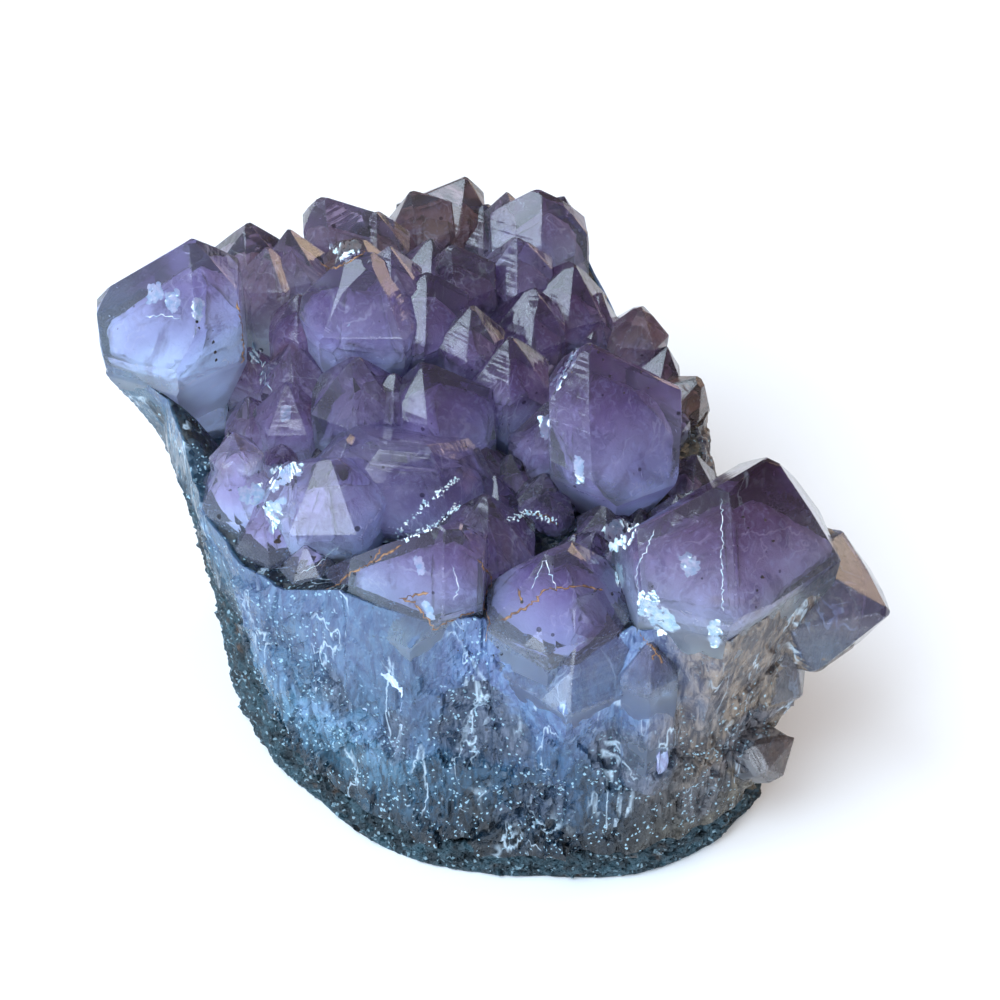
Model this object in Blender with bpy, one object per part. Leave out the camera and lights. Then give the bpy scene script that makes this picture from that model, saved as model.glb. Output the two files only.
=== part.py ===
"""Amethyst cluster: a broken piece of geode wall with amethyst points on top of pale columnar quartz.

Two solids, in metres, +Z up, origin under the middle of the piece on the surface it stands on:
  amethyst_crystals  every point, the columns under them and the quartz they grew from, one solid
  basalt_rind        the thin dark skin of the geode, under the quartz and up its left side
-Y is the broken front face, +X the side of the largest point.
"""

import math
import typing

import bmesh
import bpy
import numpy as np
from mathutils import Vector, noise

MM = 0.001

# Overall form of the broken wall, in millimetres
CENTRE_X = 1.0
CENTRE_Y = -8.0
RIM_Z = 44.0
FLOOR_Z = 3.2
FOOT_ROUND = 2.2
JOINT_GAP = 0.35
RIND_THICK = 2.8
ROOM_BEYOND = 8.0
DISH_ROUND = 1.2
AROUND = 54
# The wall flares from foot to rim by this power of the height
FLARE = 1.3
# Swells and dents of the side wall: their depth, how many fit round the piece, and their length up the wall
SWELL = (1.1, 5.0, 30.0)
DENT = (0.7, 12.0, 12.0)
# Heights of the rings of the wall as shares of the rim's, then rings of the top: share of the radius and drop
WALL_RINGS = (0.12, 0.25, 0.4, 0.55, 0.7, 0.82)
TOP_RINGS = ((0.95, 3.5), (0.86, 0.5), (0.55, -0.5), (0.25, 0.0))
TOP_WAVE = 1.6
# Plan outline of the piece where it meets the ground, and of the quartz just under the points
FOOT_OUTLINE = [
    (42, -22), (41.5, -34), (34.5, -43), (23, -49), (9, -49.5), (-1, -49), (-14, -45), (-26, -34.5),
    (-35.5, -23), (-41, -10), (-41, 5), (-33, 18), (-21, 28), (-5, 33), (13, 31), (27, 21), (37, 5), (42, -11),
]
RIM_OUTLINE = [
    (42, -23), (42, -33), (37, -40), (25, -43), (9, -42), (-7, -40), (-19, -37), (-30, -31), (-39, -22),
    (-44, -11), (-49, 1), (-48, 11), (-41, 24), (-31, 35), (-19, 42), (-7, 46), (5, 44), (15, 36),
    (22, 24), (29, 12), (32, 2), (33, -7), (36, -15),
]
# Height of the dark skin round the piece: heading in degrees from +X, height in millimetres
RIND_HEIGHTS = [
    (-180, 38), (-166, 35), (-158, 22), (-150, 12), (-140, 7.5), (-120, 5.5), (-90, 5), (-60, 5.5),
    (-30, 7), (0, 10), (45, 14), (90, 20), (135, 29), (160, 37), (180, 38),
]

# A quartz point ends in six faces whose outward direction is this far from the point's own axis
FACE_TILT = math.radians(51.8)
UNEVEN = 0.025
WELD = 0.02
# Columns in the wall: width, start above the skin, end below the rim, share of the width sunk in the wall
COLUMNS = 31
COLUMN_WIDTH = (7.0, 12.0)
COLUMN_START = (1.0, 6.0)
COLUMN_END = (0.0, 7.0)
COLUMN_LEAST = 14.0
COLUMN_SUNK = (0.34, 0.46)
COLUMN_ROOT = (1.5, 3.0)
# Small points that fill the hollows between the named ones
FILL_SEED = 21
FILL_STEP = 6.5
FILL_REACH = 56.0
FILL_WIDTH = (4.5, 7.5)
FILL_HEIGHT = (4.0, 9.0)
FILL_LEAN = 16.0
FILL_ROOT = 8.0
# How near the flank of a named point a small one may stand
FILL_NEAR = -0.5


class Point(typing.NamedTuple):
    """One quartz point, in millimetres and degrees; headings turn from +X towards +Y."""

    tip: tuple  # where its end faces meet
    width: float  # across its sides
    lean: float = 0  # of its axis from upright
    toward: float = 0  # heading that it leans to
    face: float = -90  # heading of its first side; the others follow at every sixth of a turn
    ridge: float = 0  # length of the edge that takes the place of a sharp tip, square to the first side
    middle: tuple = (0, 0)  # from the tip to the middle of the bar, in plan
    push: dict = {}  # end faces moved in, or out where negative, by the number of the side they stand on
    shaft: float = 6  # length of the straight sides
    root: float = 12  # length of the taper below them
    foot: float = 0.3  # share of the width that is left at the end of the taper
    chips: tuple = ()  # flat breaks: heading, tilt of the break from the axis, depth below the tip


# The points, named by where they stand
POINTS = {
    "left_shoulder": Point(
        (-42.5, 5.5, 78), 21, lean=3, toward=180, face=-115, middle=(-4.4, 0), push={5: -5}, shaft=7, root=17
    ),
    "left_root": Point((-44.5, 4.5, 54), 10, lean=2, toward=180, face=-60, shaft=4, root=14),
    "left_low": Point((-40.5, 6.5, 62), 8, lean=10, toward=0, face=-70, shaft=8),
    "left_back_a": Point((-36, 25, 66), 15, face=-60, shaft=6, root=14),
    "left_back_b": Point((-33, 20, 65), 9, lean=4, toward=100, face=-90, shaft=12, root=8),
    "left_back_c": Point((-30, 23, 66), 11, lean=8, toward=120, face=-75),
    "back_left_a": Point(
        (-25.5, 32, 66), 14, lean=8, toward=180, face=-55, middle=(3, 1), push={1: -5}, shaft=8, root=14
    ),
    "back_left_b": Point((-17, 32, 63), 10, face=-60),
    "back_left_c": Point((-20.5, 23.5, 64), 12, lean=6, toward=100, face=-80, ridge=3, shaft=8),
    "back_a": Point(
        (-3.5, 43, 62), 14, lean=8, toward=0, face=-60, middle=(-3, 0), push={4: -5}, shaft=6, root=14
    ),
    "back_b": Point((-12, 40.5, 61), 11, lean=12, toward=160, face=-60, push={1: -3}, shaft=6),
    "back_c": Point((8, 34, 66), 15, face=-55, middle=(0, -1), push={1: -1, 4: -3}, shaft=7, root=16),
    "back_d": Point((3, 38, 62), 6, shaft=6),
    "back_e": Point((-0.5, 41, 58), 9, face=-60),
    "back_f": Point((12, 37.5, 62), 12, lean=14, toward=20, face=-60, shaft=7, root=14),
    "back_g": Point((-8.5, 25, 63), 10, lean=6, toward=60, face=-60, shaft=8),
    "back_h": Point((-5.5, 19, 66), 9, lean=4, toward=180, face=-60, middle=(2, 0), push={1: -3}, shaft=10),
    "back_i": Point((4.5, 22.5, 65), 11, face=-60, push={1: -1}, shaft=8),
    "back_j": Point((7, 14.5, 62), 13, lean=4, toward=40, face=-60, middle=(-1, 0), shaft=8),
    "back_k": Point((13, 21, 62), 13, lean=8, toward=10, face=-60, shaft=9),
    "back_l": Point((17.5, 20.5, 56), 9, lean=16, toward=10, face=-60, shaft=8),
    "right_a": Point((23.5, 19, 55), 9, lean=8, toward=40, face=-90, chips=((0, 0, 1.2),), shaft=8),
    "right_b": Point((27.5, 14.5, 50), 7, lean=16, toward=10, face=-60, shaft=7),
    "right_c": Point((32.5, 6, 51), 8, lean=30, toward=0, face=-90, chips=((0, 0, 1),), shaft=4, root=14),
    "right_d": Point((30.5, -10.5, 50), 8, lean=8, toward=0, face=-60, shaft=7, root=10),
    "middle_left": Point((-18, 7, 74), 16, face=-90, ridge=3, chips=((200, 8, 1.5),), shaft=6, root=16),
    "middle_left_back": Point((-14, 9, 73), 9, lean=2, toward=90, face=-60, shaft=10),
    "middle_a": Point((-8.5, 7.5, 70), 13, lean=6, toward=0, face=-55, push={1: -3}, shaft=8),
    "middle_b": Point((-2, 4.5, 66), 10, lean=4, toward=20, face=-65, shaft=9),
    "middle_c": Point((3.5, 1.5, 63), 12, lean=2, toward=0, face=-60, shaft=8),
    "middle_d": Point(
        (-9, -4.5, 63), 14, lean=5, toward=100, face=-52, middle=(3, 0), push={1: -5}, shaft=6
    ),
    "middle_e": Point((-19, -3.5, 63), 13, lean=2, toward=-90, face=-60, shaft=7),
    "middle_f": Point((-13.5, -4, 60), 9, face=-60, shaft=6),
    "middle_g": Point((-28.5, 2.5, 61), 11, lean=6, toward=150, face=-60, shaft=8),
    "middle_h": Point((-27.5, 7.5, 66), 9, lean=4, toward=90, face=-60, shaft=12),
    "middle_i": Point((-29, -3.5, 58), 10, lean=4, toward=-90, face=-90, shaft=7),
    "middle_j": Point((-35.5, 7, 56), 8, lean=4, toward=160, face=-60, shaft=8),
    "middle_k": Point((-35, -2, 54), 8, lean=4, toward=180, face=-60, shaft=8),
    "large_middle": Point((14.5, -9, 70), 19, face=-60, middle=(4, -4), push={1: -5}, shaft=6, root=14),
    "pit_a": Point((9, -5.5, 56), 10, lean=8, toward=90, face=-90, shaft=8),
    "pit_b": Point((-1, -9.5, 52), 10, face=-60, shaft=6),
    "pit_c": Point((17, -21, 50), 8, face=-60, shaft=6),
    "pit_e": Point((12.5, -25.5, 48), 7, lean=5, toward=90, face=-60, shaft=6),
    "pit_f": Point((3.5, -10.5, 50), 7, face=-80, shaft=6),
    "pit_g": Point((22, -18.5, 47), 7, face=-90, shaft=6),
    "pit_d": Point((8.5, -15.5, 51), 9, face=-75, shaft=6),
    "front_left_large": Point(
        (-11.5, -19.5, 60), 17, lean=22, toward=-85, face=-95, ridge=8, shaft=6, root=24, foot=0.8
    ),
    "front_left_back": Point((-19.5, -15, 58), 12, face=-90, shaft=8),
    "left_tip": Point((-36, -15, 58), 7, lean=4, toward=150, face=-90, shaft=6),
    "left_pale": Point((-37, -17.5, 56), 12, lean=12, toward=200, face=-60, shaft=10, root=22, foot=0.7),
    "left_bright": Point((-28, -21, 58), 9, lean=10, toward=170, face=-120, shaft=7),
    "left_front": Point(
        (-22.5, -22.5, 60), 14, lean=10, toward=-90, face=-90, ridge=2, shaft=9, root=24, foot=0.8
    ),
    "left_low_front": Point(
        (-31.5, -23, 52), 11, lean=12, toward=-120, face=-60, shaft=8, root=22, foot=0.75
    ),
    "front_dark": Point((0, -26.5, 57), 14, face=-60, shaft=7, root=22, foot=0.8),
    "front_centre": Point(
        (-5, -35, 60), 19, lean=3, toward=-100, face=-65, middle=(-4.5, 0), push={4: -7}, shaft=2, root=30, foot=0.85
    ),
    "front_left_foot": Point(
        (-18.5, -32.5, 50), 13, lean=10, toward=-115, face=-60, push={1: -2}, shaft=6, root=24, foot=0.8
    ),
    "front_left_gap": Point((-25.5, -28, 48), 8, lean=8, toward=-110, face=-90, shaft=5, root=18, foot=0.7),
    "front_back": Point(
        (10, -38, 58), 17, face=-60, ridge=3, chips=((90, 0, 1.5),), shaft=6, root=22, foot=0.85
    ),
    "front_right": Point(
        (14, -42.5, 53), 20, lean=14, toward=-80, face=-65, ridge=3, chips=((90, 10, 1),), shaft=2, root=28, foot=0.85
    ),
    "front_notch": Point((22.5, -45, 46), 8, face=-60, shaft=4, root=18, foot=0.8),
    "right_large": Point(
        (36, -31.5, 66), 23, lean=8, face=-45, ridge=9.5, push={4: -4}, chips=((35, 59, -8),), shaft=5, root=34, foot=0.5
    ),
    "right_far": Point((57.5, -35.5, 42), 18, lean=67, toward=-40, face=-85, shaft=6, root=16),
    "right_under": Point((43.5, -34, 35), 12, lean=26, toward=-40, face=-60, shaft=2, root=22, foot=0.5),
    "right_bump": Point((45, -38, 19), 7, lean=50, toward=0, face=-60, shaft=3, root=6),
}


def radius_in_plan(outline, heading):
    """Distance from the centre to the outline in that heading, read between the outline's corners."""
    offsets = [(x - CENTRE_X, y - CENTRE_Y) for x, y in outline]
    angles, radii = zip(*sorted((math.atan2(dy, dx), math.hypot(dx, dy)) for dx, dy in offsets))
    return float(np.interp(heading, angles, radii, period=math.tau))


def rind_height(heading):
    degrees, heights = zip(*RIND_HEIGHTS)
    turned = (math.degrees(heading) + 180.0) % 360.0 - 180.0
    return float(np.interp(turned, degrees, heights))


def wobble(heading, z, depth, around, length):
    """Smooth noise on the side wall, to that depth either way, stretched up the wall as the columns are."""
    return depth * noise.noise(Vector((math.cos(heading) * around, math.sin(heading) * around, z / length)))


def side_radius(heading, z):
    """Outside of the piece at one heading and height: foot to rim, with a rounded foot and a ribbed wall."""
    z = min(max(z, 0.0), RIM_Z)
    foot = radius_in_plan(FOOT_OUTLINE, heading)
    rim = radius_in_plan(RIM_OUTLINE, heading)
    radius = foot + (rim - foot) * (z / RIM_Z) ** FLARE
    if z < FOOT_ROUND:
        radius -= FOOT_ROUND * (1.0 - math.sqrt(1.0 - (1.0 - z / FOOT_ROUND) ** 2))
    return radius + wobble(heading, z, *SWELL) + wobble(heading, z, *DENT)


def on_side(heading, radius, z):
    return Vector((CENTRE_X + radius * math.cos(heading), CENTRE_Y + radius * math.sin(heading), z)) * MM


def closed_loft(name, rows, bottom, top):
    """A solid skinned over rings of points, with one point at each end."""
    bm = bmesh.new()
    rings = [[bm.verts.new(point) for point in row] for row in rows]
    for low, high in zip(rings, rings[1:]):
        for i in range(AROUND):
            j = (i + 1) % AROUND
            bm.faces.new((low[i], low[j], high[j], high[i]))
    for ring, end, inward in ((rings[0], bottom, True), (rings[-1], top, False)):
        point = bm.verts.new(end)
        for i in range(AROUND):
            j = (i + 1) % AROUND
            bm.faces.new((ring[j], ring[i], point) if inward else (ring[i], ring[j], point))
    bmesh.ops.triangulate(bm, faces=bm.faces)
    bmesh.ops.recalc_face_normals(bm, faces=bm.faces)
    mesh = bpy.data.meshes.new(name)
    bm.to_mesh(mesh)
    bm.free()
    return bpy.data.objects.new(name, mesh)


def ring_at(height_of, inset=0.0, share=1.0):
    """One ring of points round the side wall, at a height that may change with the heading."""
    ring = []
    for i in range(AROUND):
        heading = math.tau * i / AROUND
        z = height_of(heading)
        ring.append(on_side(heading, share * (side_radius(heading, z) - inset), z))
    return ring


def quartz_body():
    """The pale quartz that the points stand on, from the ground to a shoulder and a gently uneven top."""
    rows = [ring_at(lambda heading: 0.0, share=0.5)]
    for z in (0.0, FOOT_ROUND, *(RIM_Z * share for share in WALL_RINGS)):
        rows.append(ring_at(lambda heading: z))
    for share, drop in TOP_RINGS:
        wave = (share * RIM_Z, TOP_WAVE, 3.0, 10.0)
        rows.append(ring_at(lambda heading: RIM_Z - drop + wobble(heading, *wave), share=share))
    return closed_loft("amethyst_crystals", rows, on_side(0, 0, 0.0), on_side(0, 0, RIM_Z))


def dish(name, low, outset, inset, floor, edge_gap):
    """A dish with the plan of the piece: flat under its foot, its edge at the height of the skin's edge."""
    rows = [ring_at(lambda heading: low, -outset, share) for share in (0.5, 1.0)]
    for step in (0.12, 0.4, 0.7, 1.0):
        rows.append(ring_at(lambda heading: low + (rind_height(heading) - edge_gap - low) * step, -outset))
    for step in (1.0, 0.35, 0.0):
        base = floor + DISH_ROUND
        drop = edge_gap if step == 1.0 else 0.0
        rows.append(ring_at(lambda heading: base + (rind_height(heading) - base) * step - drop, inset))
    rows += [ring_at(lambda heading: floor, inset, share) for share in (0.93, 0.45)]
    return closed_loft(name, rows, on_side(0, 0, low), on_side(0, 0, floor))


def trim(bm, place, outward):
    """Saws off what lies beyond a plane and closes the cut with a flat face."""
    whole = bm.verts[:] + bm.edges[:] + bm.faces[:]
    bmesh.ops.bisect_plane(bm, geom=whole, plane_co=place, plane_no=outward, clear_outer=True, dist=WELD)
    bmesh.ops.remove_doubles(bm, verts=bm.verts, dist=WELD)
    bmesh.ops.holes_fill(bm, edges=[e for e in bm.edges if e.is_boundary], sides=0)


def crystal(name, point, rng):
    """One quartz point: a six-sided bar, sharpened by six end faces and tapered to its root by six more."""
    lean, toward, face = (math.radians(a) for a in (point.lean, point.toward, point.face))
    tip = Vector(point.tip)
    axis = Vector((math.sin(lean) * math.cos(toward), math.sin(lean) * math.sin(toward), math.cos(lean)))
    flat = Vector((math.cos(face), math.sin(face), 0.0))
    first = (flat - axis * flat.dot(axis)).normalized()
    second = axis.cross(first)
    shift = Vector((*point.middle, 0.0))
    middle = tip + shift - axis * shift.dot(axis)
    half = point.width / 2.0
    sharp = half * math.tan(FACE_TILT)
    length = sharp + point.shaft + point.root
    bm = bmesh.new()
    corner = half / math.cos(math.pi / 6)
    bmesh.ops.create_cone(bm, cap_ends=True, segments=6, radius1=corner, radius2=corner, depth=length + half)
    # The bar is made upright round its own middle with corners in line with +Y: stand it on its axis, under
    # the tip, with its first side facing the first direction and its length drawn out along the second
    for v in bm.verts:
        turned = math.atan2(v.co.y, v.co.x)
        along = corner * math.sin(turned)
        along += math.copysign(point.ridge / 2.0, along)
        height = v.co.z + (half - length) / 2.0
        v.co = middle + first * corner * math.cos(turned) + second * along + axis * height
    taper = math.atan2(half * (1.0 - point.foot), point.root)
    for k in range(6):
        turned = k * math.pi / 3
        out = first * math.cos(turned) + second * math.sin(turned)
        stretch = second * math.copysign(point.ridge / 2.0, math.sin(turned)) if k % 3 else Vector()
        end_face = out * math.sin(FACE_TILT) + axis * math.cos(FACE_TILT)
        depth = point.push.get(k, 0.0) + point.width * UNEVEN * rng.random()
        trim(bm, tip + stretch - end_face * depth, end_face)
        shoulder = middle + stretch + out * half - axis * (sharp + point.shaft)
        trim(bm, shoulder, out * math.cos(taper) - axis * math.sin(taper))
    for heading, tilt, depth in point.chips:
        heading, tilt = math.radians(heading), math.radians(tilt)
        side = Vector((math.cos(heading), math.sin(heading), 0.0))
        break_face = axis * math.cos(tilt) + side * math.sin(tilt)
        trim(bm, tip - axis * depth, break_face.normalized())
    bmesh.ops.scale(bm, vec=(MM, MM, MM), verts=bm.verts)
    bmesh.ops.recalc_face_normals(bm, faces=bm.faces)
    mesh = bpy.data.meshes.new(name)
    bm.to_mesh(mesh)
    bm.free()
    return bpy.data.objects.new(name, mesh)


def wall_columns(rng):
    """The columns that stand in the quartz wall under the points, each widening upwards from its root."""
    made = []
    for i in range(COLUMNS):
        heading = math.tau * (i + rng.uniform(-0.35, 0.35)) / COLUMNS
        width = rng.uniform(*COLUMN_WIDTH)
        low = rind_height(heading) + rng.uniform(*COLUMN_START)
        top = max(RIM_Z - rng.uniform(*COLUMN_END), low + COLUMN_LEAST)
        head = on_side(heading, side_radius(heading, top) - width * rng.uniform(*COLUMN_SUNK), top) / MM
        turned = heading + rng.uniform(-0.05, 0.05)
        foot = on_side(turned, side_radius(turned, low) - rng.uniform(*COLUMN_ROOT), low) / MM
        axis = (head - foot).normalized()
        column = Point(
            tuple(head),
            width,
            lean=math.degrees(math.acos(axis.z)),
            toward=math.degrees(math.atan2(axis.y, axis.x)),
            face=rng.uniform(0.0, 60.0),
            shaft=0.5,
            root=(head - foot).length - width / 2.0 * math.tan(FACE_TILT),
        )
        made.append(crystal(f"column_{i:02d}", column, rng))
    return made


def small_points(rng):
    """Small points in the hollows: one in each square of a grid over the top with no named point near."""
    made = []
    places = np.random.default_rng(FILL_SEED)
    reach = int(FILL_REACH / FILL_STEP)
    for i in range(-reach, reach + 1):
        for j in range(-reach, reach + 1):
            x = CENTRE_X + FILL_STEP * (i + places.uniform(-0.3, 0.3))
            y = CENTRE_Y + FILL_STEP * (j + places.uniform(-0.3, 0.3))
            heading = math.atan2(y - CENTRE_Y, x - CENTRE_X)
            from_centre = math.hypot(x - CENTRE_X, y - CENTRE_Y)
            width = places.uniform(*FILL_WIDTH)
            height = places.uniform(*FILL_HEIGHT)
            lean = places.uniform(0.0, FILL_LEAN)
            toward = places.uniform(-180.0, 180.0)
            turn = places.uniform(0.0, 60.0)
            clear = min(math.hypot(x - p.tip[0], y - p.tip[1]) - p.width / 2.0 for p in POINTS.values())
            if from_centre > radius_in_plan(RIM_OUTLINE, heading) - width / 2.0 or clear < FILL_NEAR:
                continue
            small = Point((x, y, RIM_Z + height), width, lean, toward, turn, shaft=height, root=FILL_ROOT)
            made.append(crystal(f"small_{len(made):02d}", small, rng))
    return made


def material(name, colour, roughness):
    made = bpy.data.materials.new(name)
    made.use_nodes = True
    shader = made.node_tree.nodes["Principled BSDF"]
    shader.inputs["Base Color"].default_value = (*colour, 1.0)
    shader.inputs["Roughness"].default_value = roughness
    shader.inputs["Metallic"].default_value = 0.0
    return made


def without_pockets(mesh):
    """Fills the small closed hollows left between neighbours: keeps the outer skin and drops the rest."""
    bm = bmesh.new()
    bm.from_mesh(mesh)
    left = set(bm.faces)
    skins = []
    while left:
        front = [left.pop()]
        skin = list(front)
        while front:
            near = {f for e in front.pop().edges for f in e.link_faces} & left
            left -= near
            front.extend(near)
            skin.extend(near)
        skins.append(skin)
    skins.sort(key=len)
    bmesh.ops.delete(bm, geom=[f for skin in skins[:-1] for f in skin], context="FACES")
    bm.to_mesh(mesh)
    bm.free()


def grown_together(body, others, room):
    """The body and everything that grows out of it as one solid, with room for the skin under it."""
    join = body.modifiers.new("grown_together", "BOOLEAN")
    join.operation = "UNION"
    join.solver = "EXACT"
    join.operand_type = "COLLECTION"
    join.collection = others
    cut = body.modifiers.new("room_for_skin", "BOOLEAN")
    cut.operation = "DIFFERENCE"
    cut.solver = "EXACT"
    cut.object = room
    joined = bpy.data.meshes.new_from_object(body.evaluated_get(bpy.context.evaluated_depsgraph_get()))
    body.modifiers.clear()
    body.data = joined
    without_pockets(joined)


def build():
    for obj in list(bpy.data.objects):
        bpy.data.objects.remove(obj)
    cluster = bpy.data.collections.new("amethyst_cluster")
    grown = bpy.data.collections.new("joined_to_quartz")
    cutters = bpy.data.collections.new("cutters")
    for collection in (cluster, grown, cutters):
        bpy.context.scene.collection.children.link(collection)
    body = quartz_body()
    skin = dish("basalt_rind", 0.0, 0.0, RIND_THICK, FLOOR_Z - JOINT_GAP, JOINT_GAP)
    room = dish("room_for_skin", -ROOM_BEYOND, ROOM_BEYOND, RIND_THICK + JOINT_GAP, FLOOR_Z, 0.0)
    for obj in (body, skin):
        cluster.objects.link(obj)
    body.data.materials.append(material("amethyst", (0.38, 0.30, 0.62), 0.15))
    skin.data.materials.append(material("basalt", (0.06, 0.09, 0.09), 0.8))
    rng = np.random.default_rng(7)
    points = [crystal(f"point_{name}", point, rng) for name, point in POINTS.items()]
    for obj in points + wall_columns(rng) + small_points(rng):
        obj.hide_render = True
        obj.display_type = "WIRE"
        grown.objects.link(obj)
    room.hide_render = True
    room.display_type = "WIRE"
    cutters.objects.link(room)
    grown_together(body, grown, room)
    grown.hide_render = True
    cutters.hide_render = True


build()
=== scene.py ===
# %% [markdown]
# # An amethyst cluster, dressed
# The object is a broken piece of a geode's wall. Violet quartz points stand on milky quartz, and
# under that is a thin skin of the dark rock that the geode grew in. The solids of the frame carry
# the size and the main shapes. This file makes the surfaces that are seen: worn points with many
# small faces, a fibrous broken wall, a rough skin, veils and cracks inside the clear quartz, grains
# of dirt and rust-brown stains, and the light to see them by.

# %% the frame
import itertools
import math
import typing

import bmesh
import bpy
import numpy as np
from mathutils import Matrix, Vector
from mathutils.bvhtree import BVHTree


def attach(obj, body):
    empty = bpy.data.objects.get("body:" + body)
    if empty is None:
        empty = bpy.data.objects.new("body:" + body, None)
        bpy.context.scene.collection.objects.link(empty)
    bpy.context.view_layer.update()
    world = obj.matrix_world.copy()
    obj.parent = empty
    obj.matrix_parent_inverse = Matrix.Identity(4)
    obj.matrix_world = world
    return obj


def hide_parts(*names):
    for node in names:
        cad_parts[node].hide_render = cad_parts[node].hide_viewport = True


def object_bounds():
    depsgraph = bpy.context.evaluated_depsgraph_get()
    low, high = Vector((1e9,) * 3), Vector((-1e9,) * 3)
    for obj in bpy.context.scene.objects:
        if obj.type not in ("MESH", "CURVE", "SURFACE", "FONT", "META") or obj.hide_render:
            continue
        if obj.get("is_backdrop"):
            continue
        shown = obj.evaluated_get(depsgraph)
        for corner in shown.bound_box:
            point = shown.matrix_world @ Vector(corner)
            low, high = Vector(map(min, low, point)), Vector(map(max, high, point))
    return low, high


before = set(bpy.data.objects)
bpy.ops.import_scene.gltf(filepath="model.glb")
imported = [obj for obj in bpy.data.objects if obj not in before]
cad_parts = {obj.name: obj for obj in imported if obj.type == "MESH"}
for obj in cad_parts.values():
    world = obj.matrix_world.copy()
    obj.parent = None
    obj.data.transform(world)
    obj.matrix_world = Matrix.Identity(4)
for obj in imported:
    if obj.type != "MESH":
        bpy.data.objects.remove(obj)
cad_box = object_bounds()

MM = 0.001
print("the solids:", sorted(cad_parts))

# %% [markdown]
# ## Where the camera stands
# The camera looks down on the broken front face from 42 degrees above the table. It comes first,
# because some small things, such as grains of dirt, are placed by looking through it at the
# surface and setting them down where the line of sight ends.

# %% the camera
TARGET = np.array([2.0, -3.0, 34.0])
ELEVATION = math.radians(42.0)
DISTANCE = 400.0
PICTURE = 1000
FOCUS_PX = 2640.0

toward_eye = np.array([0.0, -math.cos(ELEVATION), math.sin(ELEVATION)])
eye = TARGET + DISTANCE * toward_eye
camera = bpy.data.objects.new("camera", bpy.data.cameras.new("camera"))
bpy.context.scene.collection.objects.link(camera)
camera.location = Vector(eye * MM)
camera.rotation_euler = (math.pi / 2 - ELEVATION, 0.0, 0.0)
camera.data.sensor_width = 36.0
camera.data.lens = camera.data.sensor_width * FOCUS_PX / PICTURE
camera.data.clip_start = 0.01
camera.data.clip_end = 20.0
bpy.context.scene.camera = camera


def sight_lines(pixels):
    """Unit directions from the camera through places in the 1000 by 1000 picture, as an array: right is
    the first axis, up in the picture is the camera's own up, and forward is against toward_eye."""
    pixels = np.atleast_2d(np.asarray(pixels, float))
    up = np.array([0.0, math.sin(ELEVATION), math.cos(ELEVATION)])
    across = (pixels[:, :1] - PICTURE / 2) / FOCUS_PX * np.array([1.0, 0.0, 0.0])
    upward = (PICTURE / 2 - pixels[:, 1:]) / FOCUS_PX * up
    lines = across + upward - toward_eye
    return lines / np.linalg.norm(lines, axis=1, keepdims=True)


print("camera", np.round(eye, 1), "mm, lens", round(camera.data.lens, 1))

# %% [markdown]
# ## The points
# Each row of the table is one point as it stands in the solids: where its tip is, how wide it is,
# how it leans and turns, how long its sides and its root are. The numbers are in millimetres and
# degrees. Every crystal face is flat, so a point is described by planes and needs no grid: a solid
# that is bounded by planes is exact with a few dozen faces, and its edges stay straight.

# %% the table of points
class Point(typing.NamedTuple):
    """One quartz point, in millimetres and degrees; headings turn from +X towards +Y."""

    tip: tuple  # where its end faces meet
    width: float  # across its sides
    lean: float = 0  # of its axis from upright
    toward: float = 0  # heading that it leans to
    face: float = -90  # heading of its first side; the others follow at every sixth of a turn
    ridge: float = 0  # length of the edge that takes the place of a sharp tip
    middle: tuple = (0, 0)  # from the tip to the middle of the bar, in plan
    push: dict = {}  # end faces moved in, or out where negative, by the number of their side
    shaft: float = 6  # length of the straight sides
    root: float = 12  # length of the taper below them
    foot: float = 0.3  # share of the width that is left at the end of the taper
    chips: tuple = ()  # flat breaks: heading, tilt of the break from the axis, depth below the tip


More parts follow.
